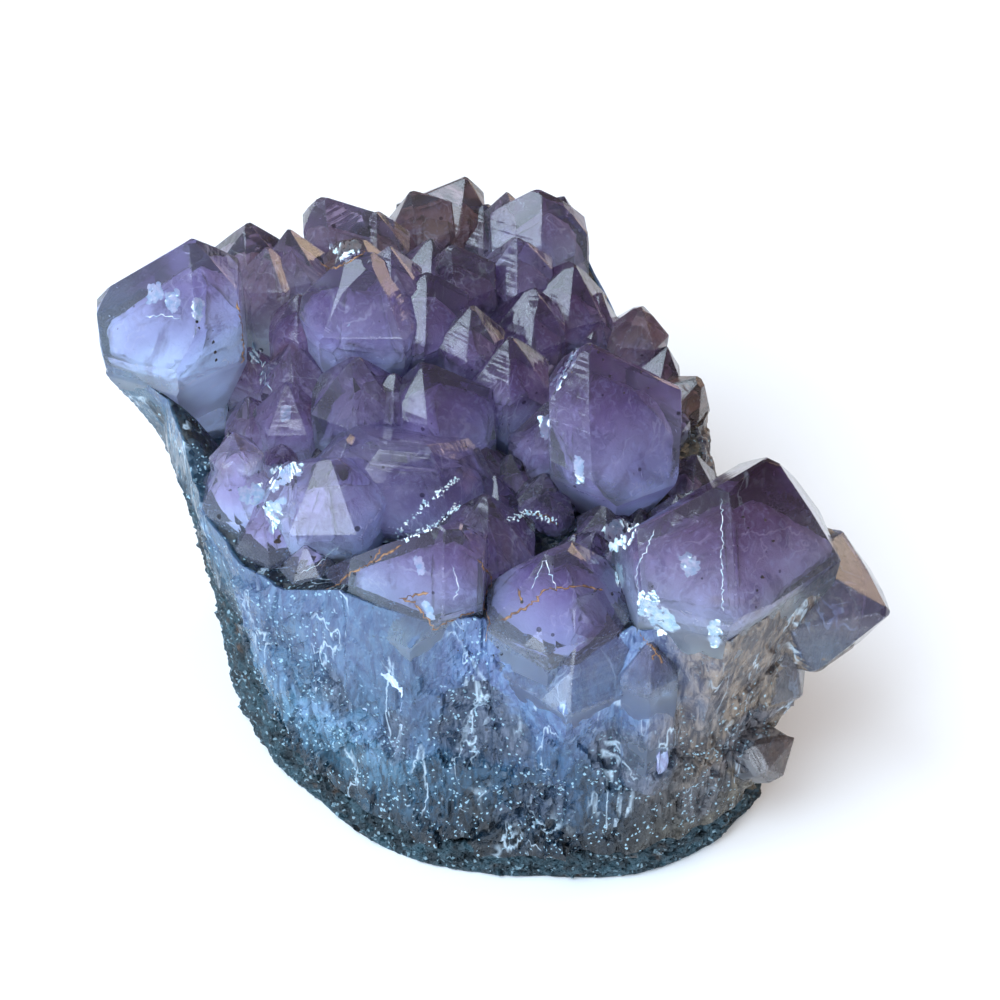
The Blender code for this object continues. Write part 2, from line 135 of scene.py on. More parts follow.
POINTS = {
    "left_shoulder": Point(
        (-42.5, 5.5, 78), 21, lean=3, toward=180, face=-115, middle=(-4.4, 0), push={5: -5}, shaft=7, root=17
    ),
    "left_root": Point((-44.5, 4.5, 54), 10, lean=2, toward=180, face=-60, shaft=4, root=14),
    "left_low": Point((-40.5, 6.5, 62), 8, lean=10, toward=0, face=-70, shaft=8),
    "left_back_a": Point((-36, 25, 66), 15, face=-60, shaft=6, root=14),
    "left_back_b": Point((-33, 20, 65), 9, lean=4, toward=100, face=-90, shaft=12, root=8),
    "left_back_c": Point((-30, 23, 66), 11, lean=8, toward=120, face=-75),
    "back_left_a": Point(
        (-25.5, 32, 66), 14, lean=8, toward=180, face=-55, middle=(3, 1), push={1: -5}, shaft=8, root=14
    ),
    "back_left_b": Point((-17, 32, 63), 10, face=-60),
    "back_left_c": Point((-20.5, 23.5, 64), 12, lean=6, toward=100, face=-80, ridge=3, shaft=8),
    "back_a": Point(
        (-3.5, 43, 62), 14, lean=8, toward=0, face=-60, middle=(-3, 0), push={4: -5}, shaft=6, root=14
    ),
    "back_b": Point((-12, 40.5, 61), 11, lean=12, toward=160, face=-60, push={1: -3}, shaft=6),
    "back_c": Point((8, 34, 66), 15, face=-55, middle=(0, -1), push={1: -1, 4: -3}, shaft=7, root=16),
    "back_d": Point((3, 38, 62), 6, shaft=6),
    "back_e": Point((-0.5, 41, 58), 9, face=-60),
    "back_f": Point((12, 37.5, 62), 12, lean=14, toward=20, face=-60, shaft=7, root=14),
    "back_g": Point((-8.5, 25, 63), 10, lean=6, toward=60, face=-60, shaft=8),
    "back_h": Point((-5.5, 19, 66), 9, lean=4, toward=180, face=-60, middle=(2, 0), push={1: -3}, shaft=10),
    "back_i": Point((4.5, 22.5, 65), 11, face=-60, push={1: -1}, shaft=8),
    "back_j": Point((7, 14.5, 62), 13, lean=4, toward=40, face=-60, middle=(-1, 0), shaft=8),
    "back_k": Point((13, 21, 62), 13, lean=8, toward=10, face=-60, shaft=9),
    "back_l": Point((17.5, 20.5, 56), 9, lean=16, toward=10, face=-60, shaft=8),
    "right_a": Point((23.5, 19, 55), 9, lean=8, toward=40, face=-90, chips=((0, 0, 1.2),), shaft=8),
    "right_b": Point((27.5, 14.5, 50), 7, lean=16, toward=10, face=-60, shaft=7),
    "right_c": Point((32.5, 6, 51), 8, lean=30, toward=0, face=-90, chips=((0, 0, 1),), shaft=4, root=14),
    "right_d": Point((30.5, -10.5, 50), 8, lean=8, toward=0, face=-60, shaft=7, root=10),
    "middle_left": Point((-18, 7, 74), 16, face=-90, ridge=3, chips=((200, 8, 1.5),), shaft=6, root=16),
    "middle_left_back": Point((-14, 9, 73), 9, lean=2, toward=90, face=-60, shaft=10),
    "middle_a": Point((-8.5, 7.5, 70), 13, lean=6, toward=0, face=-55, push={1: -3}, shaft=8),
    "middle_b": Point((-2, 4.5, 66), 10, lean=4, toward=20, face=-65, shaft=9),
    "middle_c": Point((3.5, 1.5, 63), 12, lean=2, toward=0, face=-60, shaft=8),
    "middle_d": Point(
        (-9, -4.5, 63), 14, lean=5, toward=100, face=-52, middle=(3, 0), push={1: -5}, shaft=6
    ),
    "middle_e": Point((-19, -3.5, 63), 13, lean=2, toward=-90, face=-60, shaft=7),
    "middle_f": Point((-13.5, -4, 60), 9, face=-60, shaft=6),
    "middle_g": Point((-28.5, 2.5, 61), 11, lean=6, toward=150, face=-60, shaft=8),
    "middle_h": Point((-27.5, 7.5, 66), 9, lean=4, toward=90, face=-60, shaft=12),
    "middle_i": Point((-29, -3.5, 58), 10, lean=4, toward=-90, face=-90, shaft=7),
    "middle_j": Point((-35.5, 7, 56), 8, lean=4, toward=160, face=-60, shaft=8),
    "middle_k": Point((-35, -2, 54), 8, lean=4, toward=180, face=-60, shaft=8),
    "large_middle": Point((14.5, -9, 70), 19, face=-60, middle=(4, -4), push={1: -5}, shaft=6, root=14),
    "pit_a": Point((9, -5.5, 56), 10, lean=8, toward=90, face=-90, shaft=8),
    "pit_b": Point((-1, -9.5, 52), 10, face=-60, shaft=6),
    "pit_c": Point((17, -21, 50), 8, face=-60, shaft=6),
    "pit_e": Point((12.5, -25.5, 48), 7, lean=5, toward=90, face=-60, shaft=6),
    "pit_f": Point((3.5, -10.5, 50), 7, face=-80, shaft=6),
    "pit_g": Point((22, -18.5, 47), 7, face=-90, shaft=6),
    "pit_d": Point((8.5, -15.5, 51), 9, face=-75, shaft=6),
    "front_left_large": Point(
        (-11.5, -19.5, 60), 17, lean=22, toward=-85, face=-95, ridge=8, shaft=6, root=24, foot=0.8
    ),
    "front_left_back": Point((-19.5, -15, 58), 12, face=-90, shaft=8),
    "left_tip": Point((-36, -15, 58), 7, lean=4, toward=150, face=-90, shaft=6),
    "left_pale": Point((-37, -17.5, 56), 12, lean=12, toward=200, face=-60, shaft=10, root=22, foot=0.7),
    "left_bright": Point((-28, -21, 58), 9, lean=10, toward=170, face=-120, shaft=7),
    "left_front": Point(
        (-22.5, -22.5, 60), 14, lean=10, toward=-90, face=-90, ridge=2, shaft=9, root=24, foot=0.8
    ),
    "left_low_front": Point(
        (-31.5, -23, 52), 11, lean=12, toward=-120, face=-60, shaft=8, root=22, foot=0.75
    ),
    "front_dark": Point((0, -26.5, 57), 14, face=-60, shaft=7, root=22, foot=0.8),
    "front_centre": Point(
        (-5, -35, 60), 19, lean=3, toward=-100, face=-65, middle=(-4.5, 0), push={4: -7},
        shaft=2, root=30, foot=0.85
    ),
    "front_left_foot": Point(
        (-18.5, -32.5, 50), 13, lean=10, toward=-115, face=-60, push={1: -2}, shaft=6, root=24, foot=0.8
    ),
    "front_left_gap": Point((-25.5, -28, 48), 8, lean=8, toward=-110, face=-90, shaft=5, root=18, foot=0.7),
    "front_back": Point(
        (10, -38, 58), 17, face=-60, ridge=3, chips=((90, 0, 1.5),), shaft=6, root=22, foot=0.85
    ),
    "front_right": Point(
        (14, -42.5, 53), 20, lean=14, toward=-80, face=-65, ridge=3, chips=((90, 10, 1),),
        shaft=2, root=28, foot=0.85
    ),
    "front_notch": Point((22.5, -45, 46), 8, face=-60, shaft=4, root=18, foot=0.8),
    "right_large": Point(
        (36, -31.5, 66), 23, lean=8, face=-45, ridge=9.5, push={4: -4}, chips=((35, 59, -8),),
        shaft=5, root=34, foot=0.5
    ),
    "right_far": Point((57.5, -35.5, 42), 18, lean=67, toward=-40, face=-85, shaft=6, root=16),
    "right_under": Point((43.5, -34, 35), 12, lean=26, toward=-40, face=-60, shaft=2, root=22, foot=0.5),
    "right_bump": Point((45, -38, 19), 7, lean=50, toward=0, face=-60, shaft=3, root=6),
}
print(len(POINTS), "named points")

# %% [markdown]
# ## How each point is coloured
# Iron makes quartz violet, and it settles at the tips, so a point is deep violet at its tip and
# milky at its root. Two numbers say how a point departs from the usual: how violet its tip is, and
# how brown, because the points at the back and right are stained, and their brown is partly a
# painted warm reflection of the light from the back right.

# %% the tones of the points
TONES = {
    "left_shoulder": (0.24, 0.0), "left_root": (0.05, 0.0), "left_low": (0.3, 0.2),
    "left_back_a": (0.45, 0.45), "left_back_b": (0.6, 0.4), "left_back_c": (0.6, 0.35),
    "back_left_a": (0.5, 0.4), "back_left_b": (0.45, 0.6), "back_left_c": (0.4, 0.8),
    "back_a": (0.3, 0.9), "back_b": (0.35, 0.9), "back_c": (0.65, 0.25), "back_d": (0.4, 0.5),
    "back_e": (0.45, 0.5), "back_f": (0.6, 0.3), "back_g": (0.6, 0.3), "back_h": (0.8, 0.3),
    "back_i": (0.6, 0.15), "back_j": (0.9, 0.1), "back_k": (0.95, 0.15), "back_l": (0.8, 0.2),
    "right_a": (0.9, 0.7), "right_b": (0.9, 0.5), "right_c": (0.7, 1.0), "right_d": (0.5, 0.4),
    "middle_left": (0.72, 0.0), "middle_a": (0.75, 0.05), "middle_b": (0.8, 0.1),
    "middle_c": (0.75, 0.05), "middle_d": (0.7, 0.0), "large_middle": (0.8, 0.05),
    "pit_a": (0.5, 0.1), "pit_b": (0.5, 0.3), "pit_c": (0.4, 0.3), "pit_d": (0.5, 0.2),
    "front_left_large": (0.36, 0.0), "left_pale": (0.0, 0.0), "left_bright": (0.05, 0.0),
    "left_tip": (0.35, 0.1), "left_front": (0.14, 0.0), "left_low_front": (0.1, 0.0),
    "front_dark": (0.8, 0.12), "front_centre": (0.8, 0.0), "front_left_foot": (0.12, 0.0),
    "front_left_gap": (0.2, 0.0), "front_left_back": (0.35, 0.0),
    "front_back": (0.55, 0.0), "front_right": (0.42, 0.0), "front_notch": (0.15, 0.1),
    "right_large": (1.0, 0.22), "right_far": (0.6, 0.1), "right_under": (0.1, 0.7),
    "right_bump": (0.0, 1.0),
}
USUAL_TONE = (0.6, 0.1)

# %% [markdown]
# ## A point as planes
# Quartz ends in six faces that lie 51.8 degrees over from the long axis. With six sides, a root
# that tapers under six more planes and a flat end, a point is twenty half-spaces at most. Each
# end face sits a little in or out of its place, as the faces of real points grow unevenly.

# %% planes of a point
FACE_TILT = math.radians(51.8)
UNEVEN = 0.025  # how far in an end face may sit, as a share of the width
TAPER_UNEVEN = 0.2  # how far in a taper may sit, in millimetres
PLAIN = 19  # six sides, six end faces, six tapers and the flat end: the planes before any chip
SIXTHS = np.arange(6) * math.pi / 3
SAME = 0.004  # corners closer than this are one
SHORT = 2e-4  # edges shorter than this are left out
PARALLEL, SLOW, JUST_OUT = 1e-5, 1e-9, 1e-6  # smaller than these, a number counts as nothing


def heading_vector(heading, lean):
    """The unit vector that leans from upright by lean towards heading, both in radians."""
    level = math.sin(lean)
    return np.array([level * math.cos(heading), level * math.sin(heading), math.cos(lean)])


def axes_of(point):
    """Three unit vectors of a point: its long axis, its first side's direction, and one square to both."""
    axis = heading_vector(math.radians(point.toward), math.radians(point.lean))
    flat = heading_vector(math.radians(point.face), math.pi / 2)
    first = flat - axis * (flat @ axis)
    first /= np.linalg.norm(first)
    return axis, first, np.cross(axis, first)


def planes_of(point, unevenness):
    """A point as half-spaces: rows of outward normals, and how far out along each normal its plane lies.

    Side k faces first * cos(60k) + second * sin(60k). The end face over it leans FACE_TILT off the axis
    and passes through the tip, moved in by its push. The taper under it runs in to the foot's share of
    the width."""
    axis, first, second = axes_of(point)
    tip = np.array(point.tip, float)
    shift = np.array([*point.middle, 0.0])
    middle = tip + shift - axis * (shift @ axis)
    half = point.width / 2
    sharp = half * math.tan(FACE_TILT)
    out = np.outer(np.cos(SIXTHS), first) + np.outer(np.sin(SIXTHS), second)
    drawn = np.where(np.arange(6) % 3 == 0, 0.0, np.sign(np.sin(SIXTHS))) * point.ridge / 2
    stretch = np.outer(drawn, second)
    pushes = np.array([point.push.get(k, 0.0) for k in range(6)]) + point.width * UNEVEN * unevenness
    ends = out * math.sin(FACE_TILT) + axis * math.cos(FACE_TILT)
    taper = math.atan2(half * (1 - point.foot), point.root)
    tapers = out * math.cos(taper) - axis * math.sin(taper)
    sides = middle + stretch + out * half
    shoulder = sides - axis * (sharp + point.shaft) - tapers * unevenness[:, None] * TAPER_UNEVEN
    normals = [out, ends, tapers, -axis[None]]
    places = [sides, tip + stretch - ends * pushes[:, None], shoulder]
    places.append(middle[None] - axis * (sharp + point.shaft + point.root))
    for heading, tilt, depth in point.chips:
        side = heading_vector(math.radians(heading), math.pi / 2)
        broken = axis * math.cos(math.radians(tilt)) + side * math.sin(math.radians(tilt))
        normals.append(broken[None] / np.linalg.norm(broken))
        places.append(tip[None] - axis * depth)
    normals = np.concatenate(normals)
    return normals, (normals * np.concatenate(places)).sum(axis=1)


def edges_of(normals, offsets):
    """The edges of the solid inside the planes: the two planes of each, and its two ends.

    Every two planes meet in a line. Each other plane leaves it a stretch, and what all of them leave is
    the edge."""
    first, second = np.triu_indices(len(normals), 1)
    along = np.cross(normals[first], normals[second])
    square = (along**2).sum(axis=1)
    crossing = square > PARALLEL
    first, second = first[crossing], second[crossing]
    along, square = along[crossing], square[crossing, None]
    start = offsets[first, None] * np.cross(normals[second], along)
    start += offsets[second, None] * np.cross(along, normals[first])
    start /= square
    speed = along @ normals.T
    room = offsets - start @ normals.T
    own = np.arange(len(first))
    speed[own, first] = speed[own, second] = 0.0
    room[own, first] = room[own, second] = 0.0
    with np.errstate(divide="ignore", invalid="ignore"):
        met = room / speed
    leaves = np.where(speed > SLOW, met, np.inf).min(axis=1)
    enters = np.where(speed < -SLOW, met, -np.inf).max(axis=1)
    beside = ((np.abs(speed) <= SLOW) & (room < -JUST_OUT)).any(axis=1)
    kept = ((leaves - enters) * np.sqrt(square[:, 0]) > SHORT) & ~beside
    ends = start[kept, None] + along[kept, None] * np.stack([enters[kept], leaves[kept]], axis=1)[..., None]
    return np.stack([first[kept], second[kept]], axis=1), ends


def corners_of(normals, offsets):
    """The corners of the solid inside the planes: the ends of its edges, each kept once."""
    ends = edges_of(normals, offsets)[1].reshape(-1, 3)
    first_like_it = (np.linalg.norm(ends[:, None] - ends[None], axis=-1) < SAME).argmax(axis=1)
    return ends[np.unique(first_like_it)]

# %% [markdown]
# ## Wear and growth steps
# No real point is as clean as its planes. Two things are added, again as planes. Broad faces grow in
# two or three slightly tilted fields, which catch the light at different moments. Every edge is a
# little worn, so a narrow flat of uneven width is taken off it, and that flat is what draws the
# bright line along the edges of a crystal in window light.

# %% fields and worn edges
def tilted_fields(normals, offsets, faces, rng, tilt_range):
    """Adds planes that tilt some degrees off the given faces and pass through a place on them."""
    pairs, ends = edges_of(normals, offsets)
    added, reach = [], []
    for plane in faces:
        on = ends[(pairs == plane).any(axis=1)].reshape(-1, 3)
        if len(on) < 3:
            continue
        place = rng.dirichlet(np.ones(len(on)) * 0.8) @ on
        lean = place - on.mean(axis=0) + rng.normal(0.0, 0.3, 3)
        lean -= normals[plane] * (lean @ normals[plane])
        lean /= np.linalg.norm(lean)
        normal = normals[plane] + lean * math.tan(math.radians(rng.uniform(*tilt_range)))
        normal /= np.linalg.norm(normal)
        added.append(normal)
        reach.append(normal @ place)
    return np.vstack([normals, *added]), np.append(offsets, reach)


def worn_edges(normals, offsets, rng, wear):
    """Adds a plane along every edge, midway between its faces, so that a flat as wide as the wear shows."""
    pairs, ends = edges_of(normals, offsets)
    cosine = (normals[pairs[:, 0]] * normals[pairs[:, 1]]).sum(axis=1)
    clear = (cosine > -0.7) & (cosine < 0.985)
    between = normals[pairs[clear, 0]] + normals[pairs[clear, 1]]
    between /= np.linalg.norm(between, axis=1, keepdims=True)
    widths = wear * rng.uniform(0.1, 1.0, len(between)) ** 2.5
    slope = np.tan(np.arccos(np.clip(cosine[clear], -1.0, 1.0)) / 2)
    between += rng.normal(0.0, 0.03, between.shape)
    between /= np.linalg.norm(between, axis=1, keepdims=True)
    reach = (ends.reshape(-1, 3) @ between.T).max(axis=0) - widths / 2 * slope
    return np.vstack([normals, between]), np.append(offsets, reach)

# %% [markdown]
# ## Columns in the wall and small points in the hollows
# Under the named points the quartz stands in columns, and small points fill the hollows between the
# large ones. Both follow a rule, so loops with a steady random source place them, the same way as in
# the solids. The outline of the piece is read between listed corners, one ring at the foot and one
# at the rim.

# %% outlines of the piece
CENTRE = np.array([1.0, -8.0])
RIM_Z = 44.0
FOOT_ROUND = 2.2
RIND_THICK = 2.8
FLARE = 1.3
FOOT_OUTLINE = [
    (42, -22), (41.5, -34), (34.5, -43), (23, -49), (9, -49.5), (-1, -49), (-14, -45), (-26, -34.5),
    (-35.5, -23), (-41, -10), (-41, 5), (-33, 18), (-21, 28), (-5, 33), (13, 31), (27, 21), (37, 5),
    (42, -11),
]
RIM_OUTLINE = [
    (42, -23), (42, -33), (37, -40), (25, -43), (9, -42), (-7, -40), (-19, -37), (-30, -31), (-39, -22),
    (-44, -11), (-49, 1), (-48, 11), (-41, 24), (-31, 35), (-19, 42), (-7, 46), (5, 44), (15, 36),
    (22, 24), (29, 12), (32, 2), (33, -7), (36, -15),
]
# Height of the dark skin round the piece: heading in degrees from +X, height in millimetres
RIND_HEIGHTS = [
    (-180, 38), (-166, 35), (-158, 22), (-150, 12), (-140, 7.5), (-120, 5.5), (-90, 5), (-60, 5.5),
    (-30, 7), (0, 10), (45, 14), (90, 20), (135, 29), (160, 37), (180, 38),
]


def radius_in_plan(outline, heading):
    """Distance from the centre to the outline in each heading, read between the outline's corners."""
    offsets = np.array(outline) - CENTRE
    angles = np.arctan2(offsets[:, 1], offsets[:, 0])
    order = np.argsort(angles)
    return np.interp(heading, angles[order], np.hypot(*offsets.T)[order], period=math.tau)


def rind_height(heading):
    """Height of the dark skin in each heading."""
    degrees, heights = np.array(RIND_HEIGHTS, float).T
    return np.interp((np.degrees(heading) + 180.0) % 360.0 - 180.0, degrees, heights)


def plain_radius(heading, z):
    """Outside of the piece without relief: from the foot's outline to the rim's, by a power of height."""
    foot, rim = radius_in_plan(FOOT_OUTLINE, heading), radius_in_plan(RIM_OUTLINE, heading)
    share = np.clip(z, 0.0, RIM_Z) / RIM_Z
    low = np.clip(1.0 - np.maximum(z, 0.0) / FOOT_ROUND, 0.0, 1.0)
    return foot + (rim - foot) * share**FLARE - FOOT_ROUND * (1.0 - np.sqrt(1.0 - low**2))

# %% small points
FILL_STEP = 6.5
FILL_REACH = 56.0


def small_points(rng):
    """Small points over the top: one in each square of a grid, where no named point stands near."""
    made = {}
    reach = int(FILL_REACH / FILL_STEP)
    tips = np.array([p.tip[:2] for p in POINTS.values()], float)
    half_widths = np.array([p.width for p in POINTS.values()]) / 2
    for i, j in itertools.product(range(-reach, reach + 1), repeat=2):
        place = CENTRE + FILL_STEP * (np.array([i, j]) + rng.uniform(-0.3, 0.3, 2))
        width, height = rng.uniform(4.5, 7.5), rng.uniform(4.0, 9.0)
        lean, toward, turn = rng.uniform(0.0, 16.0), rng.uniform(-180.0, 180.0), rng.uniform(0.0, 60.0)
        offset = place - CENTRE
        rim = radius_in_plan(RIM_OUTLINE, math.atan2(offset[1], offset[0]))
        inside = np.hypot(*offset) < rim - width / 2
        if inside and (np.hypot(*(tips - place).T) - half_widths).min() > -0.5:
            tip = (*place, RIM_Z + height)
            made[f"small_{len(made)}"] = Point(tip, width, lean, toward, turn, shaft=height, root=8.0)
    return made

# %% [markdown]
# ## One clear solid
# Every point becomes a closed mesh from its corners and faces. Neighbours have grown together, so
# they are united in one solid: light then passes from one to the next without crossing a wall
# that isn't there, as it does in the real quartz.

# %% the points as one solid
LARGE, MEDIUM = 12.0, 8.0


def blunted(normals, offsets, point, rng):
    """Adds two small breaks near the tip, each a plane that leans off the axis and cuts a little away."""
    axis, first, second = axes_of(point)
    ends = edges_of(normals, offsets)[1]
    for _ in range(2):
        lean, turn = math.radians(rng.uniform(8.0, 50.0)), rng.uniform(0.0, math.tau)
        normal = axis * math.cos(lean) + (first * math.cos(turn) + second * math.sin(turn)) * math.sin(lean)
        top = (ends.reshape(-1, 3) @ normal).max()
        normals = np.vstack([normals, normal])
        offsets = np.append(offsets, top - rng.uniform(0.02, 0.06) * point.width * math.cos(lean))
    return normals, offsets


unevenness = np.random.default_rng(7).random((len(POINTS), 6))
growing = dict(POINTS)
growing.update(small_points(np.random.default_rng(21)))
solids = []
for number, (name, point) in enumerate(growing.items()):
    own = np.random.default_rng(100 + number)
    uneven = unevenness[number] if number < len(POINTS) else own.random(6)
    normals, offsets = planes_of(point, uneven)
    if point.width >= LARGE:
        normals, offsets = tilted_fields(normals, offsets, range(12), own, (1.5, 6.0))
    if point.width >= MEDIUM:
        normals, offsets = blunted(normals, offsets, point, own)
    normals, offsets = worn_edges(normals, offsets, own, min(0.03 * point.width + 0.15, 0.6))
    solids.append((name, point, normals, offsets))


print(len(solids), "points as planes, with", sum(len(offsets) for *_, offsets in solids), "planes in all")

# %% meshes from arrays
def into_mesh(name, corners, faces):
    """A mesh from an array of places in millimetres and a list of faces."""
    mesh = bpy.data.meshes.new(name)
    mesh.from_pydata(np.asarray(corners) * MM, [], faces)
    mesh.update()
    return mesh


def show(name, mesh, material):
    """An object at the origin that carries the mesh, in the scene."""
    made = bpy.data.objects.new(name, mesh)
    bpy.context.scene.collection.objects.link(made)
    mesh.materials.append(material)
    return made


def skin_over(name, corners):
    """The closed skin that is stretched over the corners of a solid without hollows."""
    mesh = bpy.data.meshes.new(name)
    mesh.from_pydata(corners, [], [])
    work = bmesh.new()
    work.from_mesh(mesh)
    made = bmesh.ops.convex_hull(work, input=work.verts)
    unused = {v for v in made["geom_interior"] + made["geom_unused"] if isinstance(v, bmesh.types.BMVert)}
    bmesh.ops.delete(work, geom=list(unused), context="VERTS")
    bmesh.ops.scale(work, vec=(MM, MM, MM), verts=work.verts)
    work.to_mesh(mesh)
    work.free()
    return mesh


SAME_FLAT = math.radians(0.3)


def united(name, meshes):
    """All the closed meshes as one solid, by one Boolean union, with each flat left as one face."""
    group = bpy.data.collections.new(name + "_parts")
    bpy.context.scene.collection.children.link(group)
    parts = [bpy.data.objects.new(f"{name}_{i}", mesh) for i, mesh in enumerate(meshes)]
    for part in parts[1:]:
        group.objects.link(part)
    bpy.context.scene.collection.objects.link(parts[0])
    join = parts[0].modifiers.new("union", "BOOLEAN")
    join.operation, join.solver = "UNION", "MANIFOLD"
    join.operand_type, join.collection = "COLLECTION", group
    whole = parts[0].evaluated_get(bpy.context.evaluated_depsgraph_get())
    joined = bpy.data.meshes.new_from_object(whole)
    for part in parts:
        bpy.data.objects.remove(part)
    bpy.data.collections.remove(group)
    work = bmesh.new()
    work.from_mesh(joined)
    bmesh.ops.dissolve_limit(work, angle_limit=SAME_FLAT, verts=work.verts, edges=work.edges)
    work.to_mesh(joined)
    work.free()
    return joined

# %% uniting the points
loose = []
corners_by_point = []
for name, point, normals, offsets in solids:
    corners_by_point.append(corners_of(normals, offsets))
    loose.append(skin_over(name, corners_by_point[-1]))
clear_quartz = united("clear_quartz", loose)
print(len(loose), "points,", len(clear_quartz.polygons), "faces in the clear solid")

# %% [markdown]
# ## Milky hearts
# Only the tip and a skin of each point are clear. The rest of it is clouded by bubbles, and the
# border between the two follows the crystal's own faces, because both are layers of growth. So the
# heart of a point is the same set of planes moved inwards, far under the end faces and a little
# under the sides. Seen through more and more violet towards the tip, it gives the fade from
# dark tip to pale root that paint on the surface can't give.

# %% the milky hearts
HEART_UNDER_ENDS, HEART_UNDER_SIDES = 0.17, 0.04  # how deep its planes lie, as shares of the width
HEART_UNDER_ALL = 0.4  # and in millimetres more, under every plane
HEART_WEAR = 0.14  # how rounded its edges are, as a share of the width

cores = []
for number, (name, point, normals, offsets) in enumerate(solids):
    own = np.random.default_rng(900 + number)
    steady = own.uniform(0.6, 1.4, PLAIN)
    under = np.repeat([HEART_UNDER_SIDES, HEART_UNDER_ENDS, HEART_UNDER_SIDES, 0.0], [6, 6, 6, 1])
    depth = HEART_UNDER_ALL + under * point.width * steady
    faces, tip = normals[:PLAIN], np.array(point.tip)
    uneven = faces + own.normal(0.0, 0.06, (PLAIN, 3))
    uneven /= np.linalg.norm(uneven, axis=1, keepdims=True)
    inner = (uneven * faces).sum(axis=1) * (offsets[:PLAIN] - depth - faces @ tip)
    core = corners_of(*worn_edges(uneven, inner + uneven @ tip, own, HEART_WEAR * point.width))
    if len(core) > 7:
        cores.append(skin_over(name + "_heart", core))
hearts_solid = united("milky_hearts", cores)
print(len(cores), "hearts,", len(hearts_solid.polygons), "faces")

# %% noise on arrays
def steady_random(a, b, seed):
    """A number from 0 to 1, always the same for two whole numbers: their bits are mixed and folded."""
    mixed = a.astype(np.int64) * 374761393 + b.astype(np.int64) * 668265263 + seed * 974634777
    mixed = mixed & 0xFFFFFFFF
    mixed = ((mixed ^ (mixed >> 13)) * 1274126177) & 0xFFFFFFFF
    mixed = ((mixed ^ (mixed >> 16)) * 668265263) & 0xFFFFFFFF
    return (mixed ^ (mixed >> 15)).astype(float) / 0xFFFFFFFF


def soft_noise(u, v, seed, around=None):
    """Smooth noise from -1 to 1 over a plane: random values at whole numbers, blended between. With
    around, u comes back to where it began after that many cells."""
    i, j = np.floor(u), np.floor(v)
    s, t = u - i, v - j
    s, t = s * s * (3 - 2 * s), t * t * (3 - 2 * t)
    wrap = (lambda n: n % around) if around else (lambda n: n)
    low = steady_random(wrap(i), j, seed) * (1 - s) + steady_random(wrap(i + 1), j, seed) * s
    high = steady_random(wrap(i), j + 1, seed) * (1 - s) + steady_random(wrap(i + 1), j + 1, seed) * s
    return (low * (1 - t) + high * t) * 2 - 1

# %% [markdown]
# ## A finer mesh for the colours
# The faces stay flat, but a colour that fades from tip to root needs corners to be stored on. Long
# edges are halved until the triangles are small enough. This is done on whole arrays: every
# triangle is cut in two, three or four by which of its edges are halved, so no crack can open.

# %% halving long edges
FINE, HEART_FINE = 2.1, 1.9  # the longest edges of the clear quartz and of the hearts
ROUNDS = 5


def places_of(mesh):
    """The places of a mesh in millimetres, as an array."""
    places = np.empty(len(mesh.vertices) * 3, np.float32)
    mesh.vertices.foreach_get("co", places)
    return places.reshape(-1, 3).astype(float) / MM


def triangles_in(mesh):
    """The triangles of a mesh, as an array of the numbers of their corners."""
    mesh.calc_loop_triangles()
    corners = np.empty(len(mesh.loop_triangles) * 3, np.int32)
    mesh.loop_triangles.foreach_get("vertices", corners)
    return corners.reshape(-1, 3)


def halved(places, triangles, longest):
    """One round of halving: each edge over the limit gets a new place in its middle, which its two
    triangles share."""
    edges = np.sort(triangles[:, [0, 1, 1, 2, 2, 0]].reshape(-1, 2), axis=1)
    edges, which = np.unique(edges, axis=0, return_inverse=True)
    which = which.reshape(-1, 3)
    long = np.linalg.norm(places[edges[:, 0]] - places[edges[:, 1]], axis=1) > longest
    middle = np.where(long, len(places) + np.cumsum(long) - 1, -1)
    places = np.vstack([places, places[edges[long]].mean(axis=1)])
    split = long[which]
    count = split.sum(axis=1)
    # Turn each triangle so that a lone halved edge comes first, or a lone whole edge comes last
    whole_last = (split.argmin(axis=1) + 1) % 3
    turn = np.where(count == 1, split.argmax(axis=1), np.where(count == 2, whole_last, 0))
    turned = (turn[:, None] + np.arange(3)) % 3
    a, b, c = np.take_along_axis(triangles, turned, axis=1).T
    ab, bc, ca = np.take_along_axis(middle[which], turned, axis=1).T
    made = [np.stack([a, b, c], axis=1)[count == 0]]
    for amount, trios in (
        (1, ((a, ab, c), (ab, b, c))),
        (2, ((ab, b, bc), (a, ab, bc), (a, bc, c))),
        (3, ((a, ab, ca), (ab, b, bc), (ca, bc, c), (ab, bc, ca))),
    ):
        made += [np.stack(trio, axis=1)[count == amount] for trio in trios]
    return places, np.concatenate(made)


def without_folds(triangles):
    """Leaves out every two triangles on the same three places: they lie back to back and enclose nothing."""
    _, which, count = np.unique(np.sort(triangles, axis=1), axis=0, return_inverse=True, return_counts=True)
    return triangles[count[which.ravel()] == 1]


def made_finer(mesh, longest):
    """Places and triangles of a mesh with every edge halved until it is short enough."""
    places, triangles = places_of(mesh), without_folds(triangles_in(mesh))
    for _ in range(ROUNDS):
        places, triangles = halved(places, triangles, longest)
    return places, triangles


places, triangles = made_finer(clear_quartz, FINE)
heart_places, heart_triangles = made_finer(hearts_solid, HEART_FINE)
print(len(triangles), "triangles of clear quartz,", len(heart_triangles), "of hearts")

# %% [markdown]
# ## What each triangle belongs to
# The union forgets which point a triangle came from, and the planes tell it again: a place on a
# point's surface is outside none of its planes and on one of them. From that come the depth
# below the tip, the distance to the nearest edge of the crystal face and to the nearest
# neighbour, which set the colour, the worn look of edges and the dirt in the seams. The hearts
# are sorted the same way, by the point that they are deepest in.

